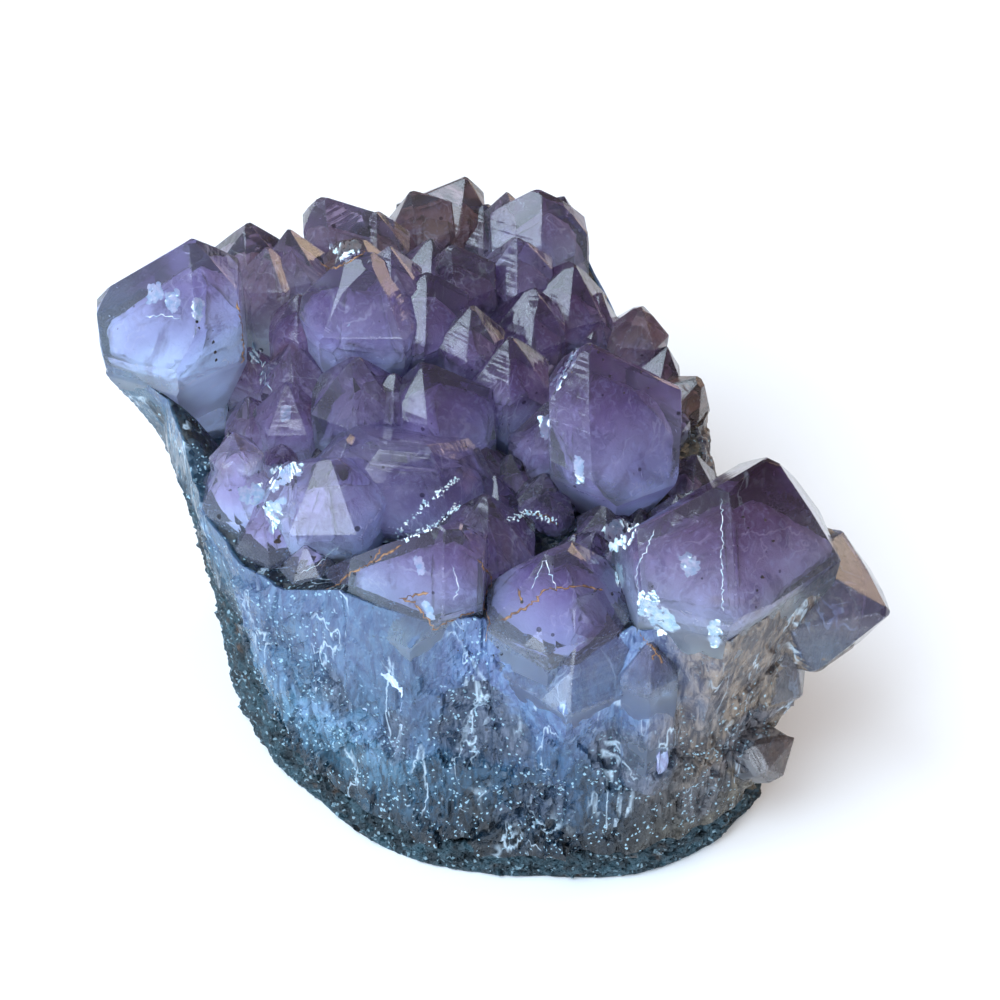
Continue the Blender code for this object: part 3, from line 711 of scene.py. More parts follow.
# %% owners and distances
DEEP = np.array([0.095, 0.030, 0.105])
VIOLET = np.array([0.30, 0.21, 0.40])
LAVENDER = np.array([0.60, 0.60, 0.80])
MILK = np.array([0.70, 0.86, 1.00])
CRUST = np.array([0.36, 0.48, 0.70])
STAIN_AND_WARM_SHEEN = np.array([0.42, 0.29, 0.22])
FAR = 4.0  # neighbours further away than this don't count
CLEAR_RUNGS = (0.1, 0.55, 1.0, 1.4)
HEART_RUNGS = (0.4, 0.8, 1.25, 1.75)


def outside(where, normals, offsets):
    """How far each place is outside a solid of planes: the largest distance in front of any plane."""
    return (where @ normals.T - offsets).max(axis=1)


def smooth(low, high, value):
    """Rises gently from 0 to 1 between two limits."""
    share = np.clip((value - low) / (high - low), 0.0, 1.0)
    return share * share * (3.0 - 2.0 * share)


def close_to(number, where):
    """Which of the places are near a point: inside its box, made wider by FAR."""
    corners = corners_by_point[number]
    low, high = corners.min(axis=0) - FAR, corners.max(axis=0) + FAR
    return np.flatnonzero(((where > low) & (where < high)).all(axis=1))


def owners_of(middles, on_surface):
    """The number of the point that each place is on the surface of, or else deepest inside."""
    best = np.full(len(middles), np.inf)
    owner = np.zeros(len(middles), int)
    for number, (name, point, normals, offsets) in enumerate(solids):
        close = close_to(number, middles)
        if on_surface:
            away = np.abs(outside(middles[close], normals, offsets))
        else:
            away = outside(middles[close], normals[:PLAIN], offsets[:PLAIN]) / point.width
        mine = away < best[close]
        owner[close[mine]] = number
        best[close[mine]] = away[mine]
    return owner


first_gap = np.full(len(places), FAR)
second_gap = np.full(len(places), FAR)
for number, (name, point, normals, offsets) in enumerate(solids):
    close = close_to(number, places)
    gap = np.maximum(outside(places[close], normals, offsets), 0.0)
    second_gap[close] = np.minimum(second_gap[close], np.maximum(first_gap[close], gap))
    first_gap[close] = np.minimum(first_gap[close], gap)
owner = owners_of(places[triangles].mean(axis=1), True)
heart_owner = owners_of(heart_places[heart_triangles].mean(axis=1), False)
print("points that show:", len(np.unique(owner)), " hearts that show:", len(np.unique(heart_owner)))

# %% tones at every corner
def tones_of(corner_places, owner, rungs_given):
    """Colour, milkiness, depth below the tip, distance to the edge of the face and the point's own
    number, for every corner of every triangle. The rungs say how far below the tip, as a share of the
    end faces' height and half the shaft, each colour of the ladder stands; the points of the rim turn
    pale sooner."""
    shape = corner_places.shape[:2]
    tone = np.zeros((*shape, 3))
    milk, below_tip, edge_gap, own_number = (np.zeros(shape) for _ in range(4))
    for number, (name, point, normals, offsets) in enumerate(solids):
        mine = owner == number
        if not mine.any():
            continue
        where = corner_places[mine].reshape(-1, 3)
        axis = axes_of(point)[0]
        crystal = PLAIN + len(point.chips)
        inside = np.sort(where @ normals[:crystal].T - offsets[:crystal], axis=1)
        depth = (np.array(point.tip) - where) @ axis
        share = depth / (point.width / 2 * math.tan(FACE_TILT) + 0.5 * point.shaft)
        steady = np.random.default_rng(500 + number)
        violet, brown = TONES.get(name, USUAL_TONE)
        violet = np.clip(violet + steady.normal(0.0, 0.05), 0.0, 1.0) ** 0.8
        ladder = np.array([
            LAVENDER + (DEEP - LAVENDER) * violet,
            LAVENDER + (VIOLET - LAVENDER) * violet,
            MILK + (LAVENDER - MILK) * (0.1 + 0.9 * violet),
            MILK,
        ])
        spread = np.array(point.tip[:2]) - CENTRE
        rim = radius_in_plan(RIM_OUTLINE, math.atan2(spread[1], spread[0]))
        rungs = np.array(rungs_given) * (1.0 - 0.3 * smooth(0.55, 0.85, np.hypot(*spread) / rim))
        colour = np.stack([np.interp(share, rungs, ladder[:, k]) for k in range(3)], axis=1)
        # Brown: partly rust stain, partly a painted warm reflection of the light from the back right
        warm = (brown * (1.0 - 0.5 * smooth(0.5, 1.5, share)))[:, None]
        colour = colour + (STAIN_AND_WARM_SHEEN * (0.4 + colour.mean(axis=1, keepdims=True)) - colour) * warm
        colour += (CRUST - colour) * (1.0 - 0.9 * brown) * smooth(43.0, 33.0, where[:, 2])[:, None]
        own_shape = corner_places[mine].shape[:2]
        below_tip[mine] = depth.reshape(own_shape)
        edge_gap[mine] = -inside[:, -2].reshape(own_shape)
        tone[mine] = colour.reshape(*own_shape, 3)
        milk[mine] = (smooth(0.75, 1.7, share) * (1.0 - 0.3 * brown)).reshape(own_shape)
        own_number[mine] = steady.random()
    return tone, milk, below_tip, edge_gap, own_number


def store(mesh, name, values, domain="CORNER"):
    """Keeps a value or a colour for each corner or point of a mesh under a name that materials read."""
    values = np.asarray(values, np.float32)
    if name == "tone":
        values = np.concatenate([values, np.ones((*values.shape[:-1], 1), np.float32)], axis=-1)
        mesh.attributes.new(name, "FLOAT_COLOR", domain).data.foreach_set("color", values.ravel())
    else:
        mesh.attributes.new(name, "FLOAT", domain).data.foreach_set("value", values.ravel())


fine_quartz = into_mesh("amethyst_points", places, triangles.tolist())
clear_values = (*tones_of(places[triangles], owner, CLEAR_RUNGS), second_gap[triangles])
names = ("tone", "milk", "below_tip", "edge_gap", "own_number", "seam_gap")
for name, values in zip(names, clear_values):
    store(fine_quartz, name, values)
print("tones stored on", len(fine_quartz.loops), "corners")

# %% clouded hearts with soft, uneven surfaces
def noise_in_space(where, per_mm, seed):
    """Smooth noise from -1 to 1 at places in space: layers of flat noise, blended along the height."""
    scaled = where * per_mm
    layer = np.floor(scaled[:, 2])
    share = scaled[:, 2] - layer
    share = share * share * (3.0 - 2.0 * share)
    low = soft_noise(scaled[:, 0], scaled[:, 1], seed + 17 * layer.astype(np.int64))
    high = soft_noise(scaled[:, 0], scaled[:, 1], seed + 17 * (layer.astype(np.int64) + 1))
    return low + (high - low) * share


heart_tone, _, _, _, heart_number = tones_of(heart_places[heart_triangles], heart_owner, HEART_RUNGS)
hearts_mesh = into_mesh("milky_hearts", heart_places, heart_triangles.tolist())
outward = np.empty(len(heart_places) * 3, np.float32)
hearts_mesh.vertex_normals.foreach_get("vector", outward)
swell = 0.55 * noise_in_space(heart_places, 0.22, 201) - 0.5
swell += 0.25 * noise_in_space(heart_places, 0.7, 203)
softened = heart_places + outward.reshape(-1, 3) * swell[:, None]
hearts_mesh.vertices.foreach_set("co", (softened * MM).astype(np.float32).ravel())
hearts_mesh.polygons.foreach_set("use_smooth", np.ones(len(heart_triangles), bool))
hearts_mesh.update()
store(hearts_mesh, "tone", heart_tone)
store(hearts_mesh, "own_number", heart_number)
print("hearts:", len(heart_triangles), "triangles")

# %% [markdown]
# ## The broken wall
# Under the points the quartz is a crust of thin columns, and the front of the piece is where that
# crust broke. Its surface is one grid: the heading round the piece and the height up it are the
# two parameters, and the distance from the middle is the value. Broken quartz has no round
# forms, so the relief is made of small tilted flats: each cell of a stretched, jittered net has its
# own depth and slope, and the steps between cells are the breaks that glitter.

# %% broken cells
def broken_cells(u, v, seed, around, slope):
    """Relief of small tilted flats: the nearest jittered seed owns a place, and gives it its own depth
    plus its own slope times the distance from it. Also gives the place of the seed."""
    i, j = np.floor(u), np.floor(v)
    best = np.full(u.shape, np.inf)
    value, seed_u, seed_v = (np.zeros(u.shape) for _ in range(3))
    for di, dj in itertools.product((-1, 0, 1), repeat=2):
        a, b = (i + di) % around, j + dj
        du = u - (i + di + steady_random(a, b, seed))
        dv = v - (b + steady_random(a, b, seed + 1))
        away = du * du + dv * dv
        depth, tilt_u, tilt_v = (steady_random(a, b, seed + k) - 0.5 for k in (2, 3, 4))
        here = depth + slope * (tilt_u * du + tilt_v * dv)
        closer = away < best
        best = np.where(closer, away, best)
        value = np.where(closer, here, value)
        seed_u, seed_v = np.where(closer, u - du, seed_u), np.where(closer, v - dv, seed_v)
    return value, seed_u, seed_v

# %% the wall's grid
WALL_COLUMNS, WALL_ROWS = 640, 130
WALL_LOW = 3.4
WALL_TOP = 43.2
FLOOR_INSIDE = RIND_THICK + 0.9  # how far in the wall stands where the rock skin covers it
ROUND_MM = 270.0  # the way round the piece, for patterns that count in millimetres
MIDDLE_WIDE, MIDDLE_HIGH = 3.0, 4.2  # size of the cells between the coarse and the small ones
# Windows where the crust broke away deeper: heading in degrees, then height, half width, half height
# and depth in millimetres
WINDOWS = [
    (-93, 28, 6.5, 7.0, 1.2), (-64, 24, 5.5, 6.0, 1.3), (-110, 24, 3.5, 6.0, 0.8), (-40, 20, 6.0, 5.0, 0.8),
    (-128, 27, 4.0, 4.0, 0.8), (-80, 14, 5.0, 4.0, 0.5), (-50, 14, 4.0, 3.5, 0.5),
]


print("wall:", WALL_COLUMNS, "places round,", WALL_ROWS, "up,", len(WINDOWS), "windows")

# %% where a level ray leaves a point
def exit_radius(heading, z, normals, offsets):
    """How far from the middle a level ray leaves a solid of planes, or 0 where it misses it: the first
    plane met from inside, where that is beyond the last one met from outside."""
    start = np.stack([np.full(z.shape, CENTRE[0]), np.full(z.shape, CENTRE[1]), z], axis=-1)
    along = np.stack([np.cos(heading), np.sin(heading), np.zeros(z.shape)], axis=-1)
    speed = along @ normals.T
    room = offsets - start @ normals.T
    with np.errstate(divide="ignore", invalid="ignore"):
        met = room / speed
    leaves = np.where(speed > SLOW, met, np.inf).min(axis=-1)
    enters = np.where(speed < -SLOW, met, -np.inf).max(axis=-1)
    missed = (leaves <= np.maximum(enters, 0.0)) | ((speed == 0) & (room < 0)).any(axis=-1)
    return np.where(missed, 0.0, leaves)


def room_in_box(heading):
    """How far from the middle the box of the solids is in each heading, less a tenth of a millimetre."""
    low, high = (np.array(corner[:2]) / MM - CENTRE for corner in cad_box)
    x, y = np.cos(heading), np.sin(heading)
    across = np.where(x > 0, high[0], -low[0]) / np.maximum(np.abs(x), 1e-6)
    along = np.where(y > 0, high[1], -low[1]) / np.maximum(np.abs(y), 1e-6)
    return np.minimum(across, along) - 0.1


def smooth_highest(a, b, blend):
    """The larger of two values, rounded over where they are within blend of each other."""
    share = np.clip(1.0 - np.abs(a - b) / blend, 0.0, 1.0)
    return np.maximum(a, b) + share * share * blend / 4


def shoulder_height(point):
    """Height of the shoulder of a point, where its sides turn into its taper."""
    sharp = point.width / 2 * math.tan(FACE_TILT)
    return point.tip[2] - (sharp + point.shaft) * math.cos(math.radians(point.lean))

# %% the wall's top edge
ring = np.arange(WALL_COLUMNS) * math.tau / WALL_COLUMNS
# The top edge rises to the shoulders of the outer points, so that the crust can climb onto them
top = np.full(WALL_COLUMNS, WALL_TOP)
for name, point, normals, offsets in solids[:len(POINTS)]:
    shoulder = shoulder_height(point)
    below = np.full(WALL_COLUMNS, shoulder - 1.0)
    leaves = exit_radius(ring, below, normals[:PLAIN], offsets[:PLAIN])
    outer = leaves > plain_radius(ring, WALL_TOP) - 5.0
    top = np.where(outer, np.maximum(top, shoulder + 1.5), top)
widest = np.max([np.roll(top, k) for k in range(-8, 9)], axis=0)
top = np.mean([np.roll(widest, k) for k in range(-12, 13)], axis=0)
print("top edge:", round(top.min(), 1), "to", round(top.max(), 1), "mm high")

# %% the breaks of the wall
share_up = np.linspace(0.0, 1.0, WALL_ROWS)[:, None]
height = WALL_LOW + share_up * (top - WALL_LOW)
heading = np.broadcast_to(ring, height.shape)
turned = heading / math.tau * ROUND_MM
bend = 2.2 * soft_noise(turned / 9, height / 12, 3, 30) + 0.8 * soft_noise(turned / 3, height / 5, 4, 90)
rise = 2.5 * soft_noise(turned / 10, height / 10, 6, 27)
sparkly = smooth(-0.1, 0.45, soft_noise(turned / 6, height / 7, 8, 45))
bent, risen = turned + bend, height + rise
coarse = broken_cells(bent / 6.75, risen / 10, 11, 40, 1.4)[0]
middle, seed_u, seed_v = broken_cells(bent / MIDDLE_WIDE, risen / MIDDLE_HIGH, 21, 90, 1.6)
small = broken_cells(bent / 0.9, risen / 1.3, 31, 300, 1.8)[0]
relief = 1.3 * coarse + (0.35 + 0.5 * sparkly) * middle + (0.14 + 0.3 * sparkly) * small
relief += 1.3 * soft_noise(turned / 18, height / 20, 5, 15)
print("relief:", round(relief.min(), 1), "to", round(relief.max(), 1), "mm")

# %% windows in the crust
# A window's hollow is made of whole cells, and its dark shade has a ragged border of its own
window, shade = np.zeros(heading.shape), np.zeros(heading.shape)
ragged = 0.22 * soft_noise(turned / 2.25, height / 2.5, 43, 120)
ragged += 0.15 * soft_noise(turned / 0.75, height / 0.8, 44, 360)
for degrees, z, half_width, half_height, depth in WINDOWS:
    middle_at = math.radians(degrees) % math.tau / math.tau * ROUND_MM
    across = (seed_u * MIDDLE_WIDE - middle_at + ROUND_MM / 2) % ROUND_MM - ROUND_MM / 2
    away = np.hypot(across / half_width, (seed_v * MIDDLE_HIGH - z) / half_height)
    window = np.maximum(window, depth * smooth(1.15, 0.85, away))
    across = (bent - middle_at + ROUND_MM / 2) % ROUND_MM - ROUND_MM / 2
    away = np.hypot(across / half_width, (risen - z) / half_height) + ragged
    shade = np.maximum(shade, (0.4 + 0.45 * depth) * smooth(1.25, 0.75, away))
plain = plain_radius(heading, height)
wall = plain - 0.3 + relief * smooth(0.0, 4.0, WALL_TOP - height + 1.5) - window

print("share of the wall in windows:", round((window > 0).mean(), 3))

# %% crust on the roots of the points
# The crust that climbs onto the roots of the points above it, and sinks into them as it rises
crust = np.zeros(heading.shape)
climb = height + 2.5 * soft_noise(turned / 3, height / 9, 41, 90)
climb += 1.5 * soft_noise(turned / 1, height / 4, 42, 270)
for number, (name, point, normals, offsets) in enumerate(solids[:len(POINTS)]):
    shoulder = shoulder_height(point)
    spread = corners_by_point[number][:, :2] - CENTRE
    half_turn = math.atan2(point.width + 4.0, max(np.hypot(*spread.mean(axis=0)), 1.0))
    toward = math.atan2(spread[:, 1].mean(), spread[:, 0].mean())
    facing = np.abs((ring - toward + math.pi) % math.tau - math.pi) < max(half_turn, 0.3)
    sink = np.clip((climb[:, facing] - shoulder + 3.0) * 0.12, -0.25, 2.5)
    leaves = exit_radius(heading[:, facing], height[:, facing], normals[:PLAIN], offsets[:PLAIN])
    crust[:, facing] = np.maximum(crust[:, facing], np.where(leaves > 0, leaves - sink, 0.0))
rough_crust = crust + (0.10 + 0.25 * sparkly) * middle + (0.04 + 0.16 * sparkly) * small - 0.3 * window
wall = np.where(crust > wall - 5.0, smooth_highest(wall, rough_crust, 5.0), wall)

print("share of the wall that crust reaches:", round((crust > plain).mean(), 3))

# %% the wall behind the rock skin
edge = rind_height(heading) + 0.8 * soft_noise(turned / 2.25, height * 0, 51, 120)
within_skin = smooth(-0.6, 0.9, edge - height)
wall = np.minimum(np.minimum(wall, plain + 12.0), room_in_box(heading))
wall -= within_skin * (np.maximum(wall - plain, 0.0) + FLOOR_INSIDE)


print("share of the wall behind the rock skin:", round(within_skin.mean(), 3))

# %% the wall as a closed mesh
def ring_grid(name, heading, radius, height, bottom, top):
    """A closed skin over rings of places round the middle: each row of the grid is a ring, and a fan of
    triangles to one place closes each end."""
    rows, columns = radius.shape
    x, y = CENTRE[0] + radius * np.cos(heading), CENTRE[1] + radius * np.sin(heading)
    grid = np.stack([x, y, height], axis=-1).reshape(-1, 3)
    number = np.arange(rows * columns).reshape(rows, columns)
    beside = np.roll(number, -1, axis=1)
    quads = np.stack([number[:-1], beside[:-1], beside[1:], number[1:]], axis=-1).reshape(-1, 4)
    first_end, last_end = rows * columns, rows * columns + 1
    low_fan = np.stack([beside[0], number[0], np.full(columns, first_end)], axis=1)
    high_fan = np.stack([number[-1], beside[-1], np.full(columns, last_end)], axis=1)
    ends = [[CENTRE[0], CENTRE[1], bottom], [CENTRE[0], CENTRE[1], top]]
    return into_mesh(name, np.vstack([grid, ends]), quads.tolist() + low_fan.tolist() + high_fan.tolist())


# Rings of the hidden floor below and of the uneven top, which falls from the raised edge to the hollows
inset = np.array([0.7, 2.0, 4.0, 7.0, 11.0, 16.0])[:, None]
inner_share = np.array([0.75, 0.5, 0.25])[:, None]
fall = smooth(0.0, 12.0, np.vstack([inset, np.full((3, 1), 16.0)]))


floor_radius = wall[0] * np.array([0.3, 0.7, 0.93])[:, None]
top_radius = np.maximum(wall[-1] - inset, wall[-1] * 0.55)
top_radius = np.vstack([top_radius, top_radius[-1] * inner_share])
low_top = WALL_TOP + 0.4 + 0.9 * soft_noise(ring * 9 / math.pi + 0 * top_radius, top_radius / 4, 61, 18)
wall_radius = np.vstack([floor_radius, wall, top_radius])
wall_height = np.vstack([np.full(floor_radius.shape, WALL_LOW), height, top - 0.3 + (low_top - top) * fall])
wall_heading = np.broadcast_to(ring, wall_radius.shape)
wall_mesh = ring_grid("quartz_wall", wall_heading, wall_radius, wall_height, WALL_LOW, WALL_TOP)
# Values that the material reads: nothing on the floor, on the top and on the two places that close them
over_points = smooth(-1.5, 1.0, crust - plain)
for name, values in (("shade", shade), ("above_skin", height - edge), ("over_points", over_points)):
    whole = np.vstack([0 * floor_radius, values, 0 * top_radius])
    store(wall_mesh, name, np.append(whole.ravel(), [0.0, 0.0]), "POINT")
low, high = round(wall.min(), 1), round(wall.max(), 1)
print("wall:", len(wall_mesh.polygons), "faces, radius", low, "to", high, "mm")

# %% [markdown]
# ## The rock skin
# The geode grew in dark basalt, and a few millimetres of it still cling to the underside and climb
# the left end. It is a dish in the solids, and the same dish here: its outline is a profile
# carried round the piece, up the outside, over a broken lip and down the inside, with crumbs of
# rock as relief on the outside. The underside stays flat, because the piece stands on it.

# %% the rock skin's grid
SKIN_COLUMNS, SKIN_ROWS = 720, 60
CRUMB = 0.9

skin_heading = np.arange(SKIN_COLUMNS) * math.tau / SKIN_COLUMNS
lip = rind_height(skin_heading)
lip = lip + 0.5 * soft_noise(skin_heading * 60 / math.pi, lip * 0, 71, 120)
lip = lip + 0.4 * soft_noise(skin_heading * 170 / math.pi, lip * 0, 72, 340)
lip = np.maximum(lip, 3.6)
rise = np.linspace(0.0, 1.0, SKIN_ROWS)[:, None] ** 0.9
outer_height = rise * lip
outer_heading = np.broadcast_to(skin_heading, outer_height.shape)
skin_turned = outer_heading / math.tau * ROUND_MM
lumps = 0.5 + 0.5 * soft_noise(skin_turned / 3, outer_height / 3, 73, 90)
blocks = broken_cells(skin_turned / 1.5, outer_height / 1.4, 75, 180, 1.2)[0]
crumbs = broken_cells(skin_turned / 0.6, outer_height / 0.6, 76, 450, 1.2)[0]
relief = CRUMB * (0.9 * lumps + 0.9 * (blocks + 0.5) + 0.45 * (crumbs + 0.5))
outer_radius = np.minimum(plain_radius(outer_heading, outer_height), room_in_box(outer_heading))
outer_radius = outer_radius - relief * smooth(0.0, 1.2, outer_height)
lip_height = outer_height[-1] + np.array([0.35, 0.45, 0.25])[:, None] * (1.0 + 0 * lip)
lip_radius = outer_radius[-1] - np.array([0.5, 1.1, 1.6])[:, None] * (1.0 + 0 * lip)
inner_height = lip + (RIND_THICK - lip) * np.linspace(0.1, 1.0, 6)[:, None]
inner_radius = plain_radius(np.broadcast_to(skin_heading, inner_height.shape), inner_height) - RIND_THICK
floor_radius = inner_radius[-1] * np.array([0.8, 0.5, 0.2])[:, None]
under_radius = outer_radius[0] * np.array([0.2, 0.5, 0.8, 0.97])[:, None]
skin_radius = np.vstack([under_radius, outer_radius, lip_radius, inner_radius, floor_radius])
floor_height = np.full(floor_radius.shape, RIND_THICK)
skin_height = np.vstack([0 * under_radius, outer_height, lip_height, inner_height, floor_height])
skin_mesh = ring_grid(
    "rock_skin", np.broadcast_to(skin_heading, skin_radius.shape), skin_radius, skin_height, 0.0, RIND_THICK
)
low, high = round(lip.min(), 1), round(lip.max(), 1)
print("rock skin:", len(skin_mesh.polygons), "faces, lip from", low, "to", high, "mm")

# %% [markdown]
# ## Small things on and in the quartz
# Inside the clear quartz, healed cracks and cleavage flakes flash white or cyan, a colour painted into
# them as a glint. On it lie black grains, rust has crept along some seams, and one ridge is crumbled
# white, its crumbs partly painted highlights. The ones that stand out in the photograph are set down
# by sight: a place in the picture is looked at through the camera, and the thing goes where the line
# of sight meets the quartz. The many tiny flashes are strewn over every side by chance.

# %% looking at a place
clear_tree = BVHTree.FromPolygons([Vector(p) for p in places], triangles.tolist())
wall_faces = [tuple(face.vertices) for face in wall_mesh.polygons]
wall_tree = BVHTree.FromPolygons([Vector(p) for p in places_of(wall_mesh)], wall_faces)


def seen_at(pixels):
    """Where the lines of sight through the pixels first meet the quartz: places, outward directions and
    whether it is the wall; a line that misses is left out."""
    found = []
    for line in sight_lines(pixels):
        best = None
        for tree, is_wall in ((clear_tree, False), (wall_tree, True)):
            place, normal, _, away = tree.ray_cast(Vector(eye), Vector(line))
            if place is not None and (best is None or away < best[3]):
                best = (place, normal if normal.dot(Vector(line)) < 0 else -normal, is_wall, away)
        if best is not None:
            found.append(best)
    where = np.array([f[0] for f in found]).reshape(-1, 3)
    return where, np.array([f[1] for f in found]).reshape(-1, 3), np.array([f[2] for f in found], bool)


def unit(vectors):
    """Each vector at length one."""
    return vectors / np.linalg.norm(vectors, axis=-1, keepdims=True)

# %% plates and ribbons
def plates(middles, normals, sizes, thick, rng, corners=6, stretch=1.6):
    """Thin closed plates with uneven outlines: one for each middle, square to its normal. Each is a ring of
    corners at uneven radii, drawn out along one direction, once above and once below its middle."""
    count = len(middles)
    first = unit(np.cross(normals, unit(rng.normal(size=(count, 3)))))
    second = np.cross(normals, first)
    turn = (np.arange(corners) + rng.uniform(-0.3, 0.3, (count, corners))) * math.tau / corners
    radius = sizes[:, None] * rng.uniform(0.5, 1.0, (count, corners))
    along, across = radius * np.cos(turn) * stretch, radius * np.sin(turn) / stretch
    ring = middles[:, None] + along[..., None] * first[:, None] + across[..., None] * second[:, None]
    lift = normals[:, None] * thick / 2
    both = np.concatenate([ring + lift, ring - lift], axis=1).reshape(-1, 3)
    start = (np.arange(count) * 2 * corners)[:, None]
    i = np.arange(corners)
    j = (i + 1) % corners
    top, bottom = (start + i).tolist(), (start + corners + i[::-1]).tolist()
    sides = np.stack([start + i, start + corners + i, start + corners + j, start + j], axis=-1).reshape(-1, 4)
    return both, top + bottom + sides.tolist()


def joined(parts):
    """Several lots of places and faces as one."""
    all_places, all_faces, start = [], [], 0
    for some_places, some_faces in parts:
        all_places.append(some_places)
        all_faces += [[n + start for n in face] for face in some_faces]
        start += len(some_places)
    return np.vstack(all_places), all_faces


RIBBON_STEP = 2.5


def ribbon(line, rng, half_width, over):
    """A thin closed ribbon that lies on the quartz along a line of the picture, of uneven width: four
    corners across it at each step, two above the surface and two below."""
    line = np.array(line, float)
    run = np.append(0.0, np.cumsum(np.hypot(*np.diff(line, axis=0).T)))
    steps = np.linspace(0.0, run[-1], max(int(run[-1] / RIBBON_STEP), 2) + 1)
    spots = np.stack([np.interp(steps, run, line[:, k]) for k in range(2)], axis=1)
    where, normals, _ = seen_at(spots + rng.normal(0.0, 0.9, spots.shape))
    if len(where) < 3:
        return np.zeros((0, 3)), []
    forward = unit(np.gradient(where, axis=0))
    across = unit(np.cross(normals, forward))
    width = half_width * rng.uniform(0.25, 1.0, (len(where), 1))
    width[[0, -1]] *= 0.2
    up = normals * over
    left, right = where + across * width - up, where - across * width - up
    rings = np.stack([left, where + up, right, where - 2 * up], axis=1)
    number = np.arange(len(where) * 4).reshape(-1, 4)
    beside = np.roll(number, -1, axis=1)
    sides = np.stack([number[:-1], number[1:], beside[1:], beside[:-1]], axis=-1).reshape(-1, 4)
    return rings.reshape(-1, 3), sides.tolist() + [number[0].tolist(), number[-1, ::-1].tolist()]

# %% flashes
# Outlines of the large flashes in the picture
LARGE_FLASHES = [
    [(270, 466), (303, 463), (301, 474), (272, 491)], [(262, 504), (286, 498), (272, 535)],
    [(240, 488), (262, 484), (265, 494), (252, 506), (240, 500)],
    [(575, 346), (582, 349), (556, 392), (548, 388)],
    [(637, 597), (652, 590), (680, 630), (664, 637), (640, 614)],
    [(711, 621), (719, 619), (721, 642), (712, 647)],
    [(680, 556), (690, 553), (699, 566), (694, 577), (684, 568)],
    [(604, 527), (622, 518), (638, 527), (628, 548), (608, 549)],
    [(615, 565), (621, 564), (623, 584), (616, 586)], [(251, 342), (262, 350), (257, 366), (250, 356)],
    [(282, 408), (288, 405), (288, 418), (283, 420)], [(146, 288), (158, 283), (163, 296), (150, 304)],
    [(165, 296), (177, 291), (180, 306), (168, 312)], [(541, 417), (549, 415), (551, 440), (543, 438)],
    [(575, 457), (581, 455), (583, 485), (577, 483)], [(415, 559), (419, 559), (424, 573), (420, 573)],
    [(422, 601), (426, 601), (434, 617), (430, 618)], [(330, 246), (356, 240), (364, 250), (340, 262)],
    [(262, 360), (270, 366), (268, 386), (260, 380)], [(196, 298), (204, 304), (198, 320), (191, 312)],
]
FLASH_UNDER = 0.12
flash_rng = np.random.default_rng(31)


def flash_lots(outline):
    """A large flash as many small plates that fill its outline in the picture, just under the surface:
    a healed crack is never one even sheet."""
    outline = np.array(outline, float)
    low, high = outline.min(axis=0), outline.max(axis=0)
    tries = flash_rng.uniform(low, high, (int((high - low).prod() / 9) + 30, 2))
    ahead = np.roll(outline, -1, axis=0)
    turned = np.cross(ahead[None] - outline[None], tries[:, None] - outline[None])
    inside = (turned > 0).all(axis=1) | (turned < 0).all(axis=1)
    where, normals, is_wall = seen_at(tries[inside])
    common = np.median(normals, axis=0)
    leaned = unit(0.75 * common + 0.25 * normals + 0.10 * flash_rng.normal(size=normals.shape))
    where = where - normals * np.where(is_wall, -0.04, FLASH_UNDER)[:, None]
    return plates(where, leaned, flash_rng.uniform(0.3, 0.75, len(where)), 0.05, flash_rng, stretch=1.25)


print(len(LARGE_FLASHES), "large flashes")

# %% strewn flashes and crumbs
first_edges = places[triangles[:, 1]] - places[triangles[:, 0]]
second_edges = places[triangles[:, 2]] - places[triangles[:, 0]]
crosses = np.cross(first_edges, second_edges)
areas = np.linalg.norm(crosses, axis=1)
STREWN = 900
chosen = flash_rng.choice(len(triangles), STREWN, p=areas / areas.sum())
shares = flash_rng.dirichlet((1.0, 1.0, 1.0), STREWN)
strewn = (places[triangles[chosen]] * shares[..., None]).sum(axis=1)
strewn_normals = unit(crosses[chosen])
strewn -= strewn_normals * flash_rng.uniform(0.15, 0.35, (STREWN, 1))
strewn_sizes = 0.05 + 0.22 * flash_rng.random(STREWN) ** 4
strewn_lean = unit(strewn_normals + 0.5 * flash_rng.normal(size=(STREWN, 3)))
# A ridge crumbled white, its crumbs partly painted highlights: its line in the picture, and how far the crumbs
# spread to its sides
CRUMBLED = [
    ((395, 535), (425, 505), (460, 477)), ((400, 541), (432, 527), (458, 505)),
    ((510, 520), (530, 512), (556, 522)),
]
crumb_places = []
for line in CRUMBLED:
    along = flash_rng.uniform(0.0, len(line) - 1.001, 80)
    spots = np.stack([np.interp(along, np.arange(len(line)), np.array(line)[:, k]) for k in range(2)], axis=1)
    crumb_places.append(spots + flash_rng.normal(0.0, 1.8, spots.shape))
where, normals, _ = seen_at(np.concatenate(crumb_places))
crumb_lean = unit(normals + 0.7 * flash_rng.normal(size=normals.shape))
# Pale ribbons along sharp edges, as painted highlights, and along thin cracks
EDGE_HIGHLIGHTS_AND_CRACKS = [
    ((722, 500), (722, 556), (723, 612)), ((640, 606), (636, 570), (655, 530)),
    ((556, 392), (566, 366), (579, 347)), ((300, 574), (316, 566), (338, 546)),
    ((452, 566), (458, 582), (455, 600)), ((250, 344), (262, 366), (270, 392)),
    ((145, 317), (160, 315), (182, 318)), ((530, 590), (545, 560), (556, 588)),
]
crumb_sizes = flash_rng.uniform(0.08, 0.32, len(where))
crumbs = plates(where + normals * 0.02, crumb_lean, crumb_sizes, 0.12, flash_rng, 5, 1.3)
flashes_mesh = into_mesh("healed_cracks", *joined([
    *(flash_lots(outline) for outline in LARGE_FLASHES),
    plates(strewn, strewn_lean, strewn_sizes, 0.04, flash_rng, stretch=1.5), crumbs,
    *(ribbon(line, flash_rng, 0.10, 0.03) for line in EDGE_HIGHLIGHTS_AND_CRACKS),
]))
print("flashes:", len(flashes_mesh.polygons), "faces")

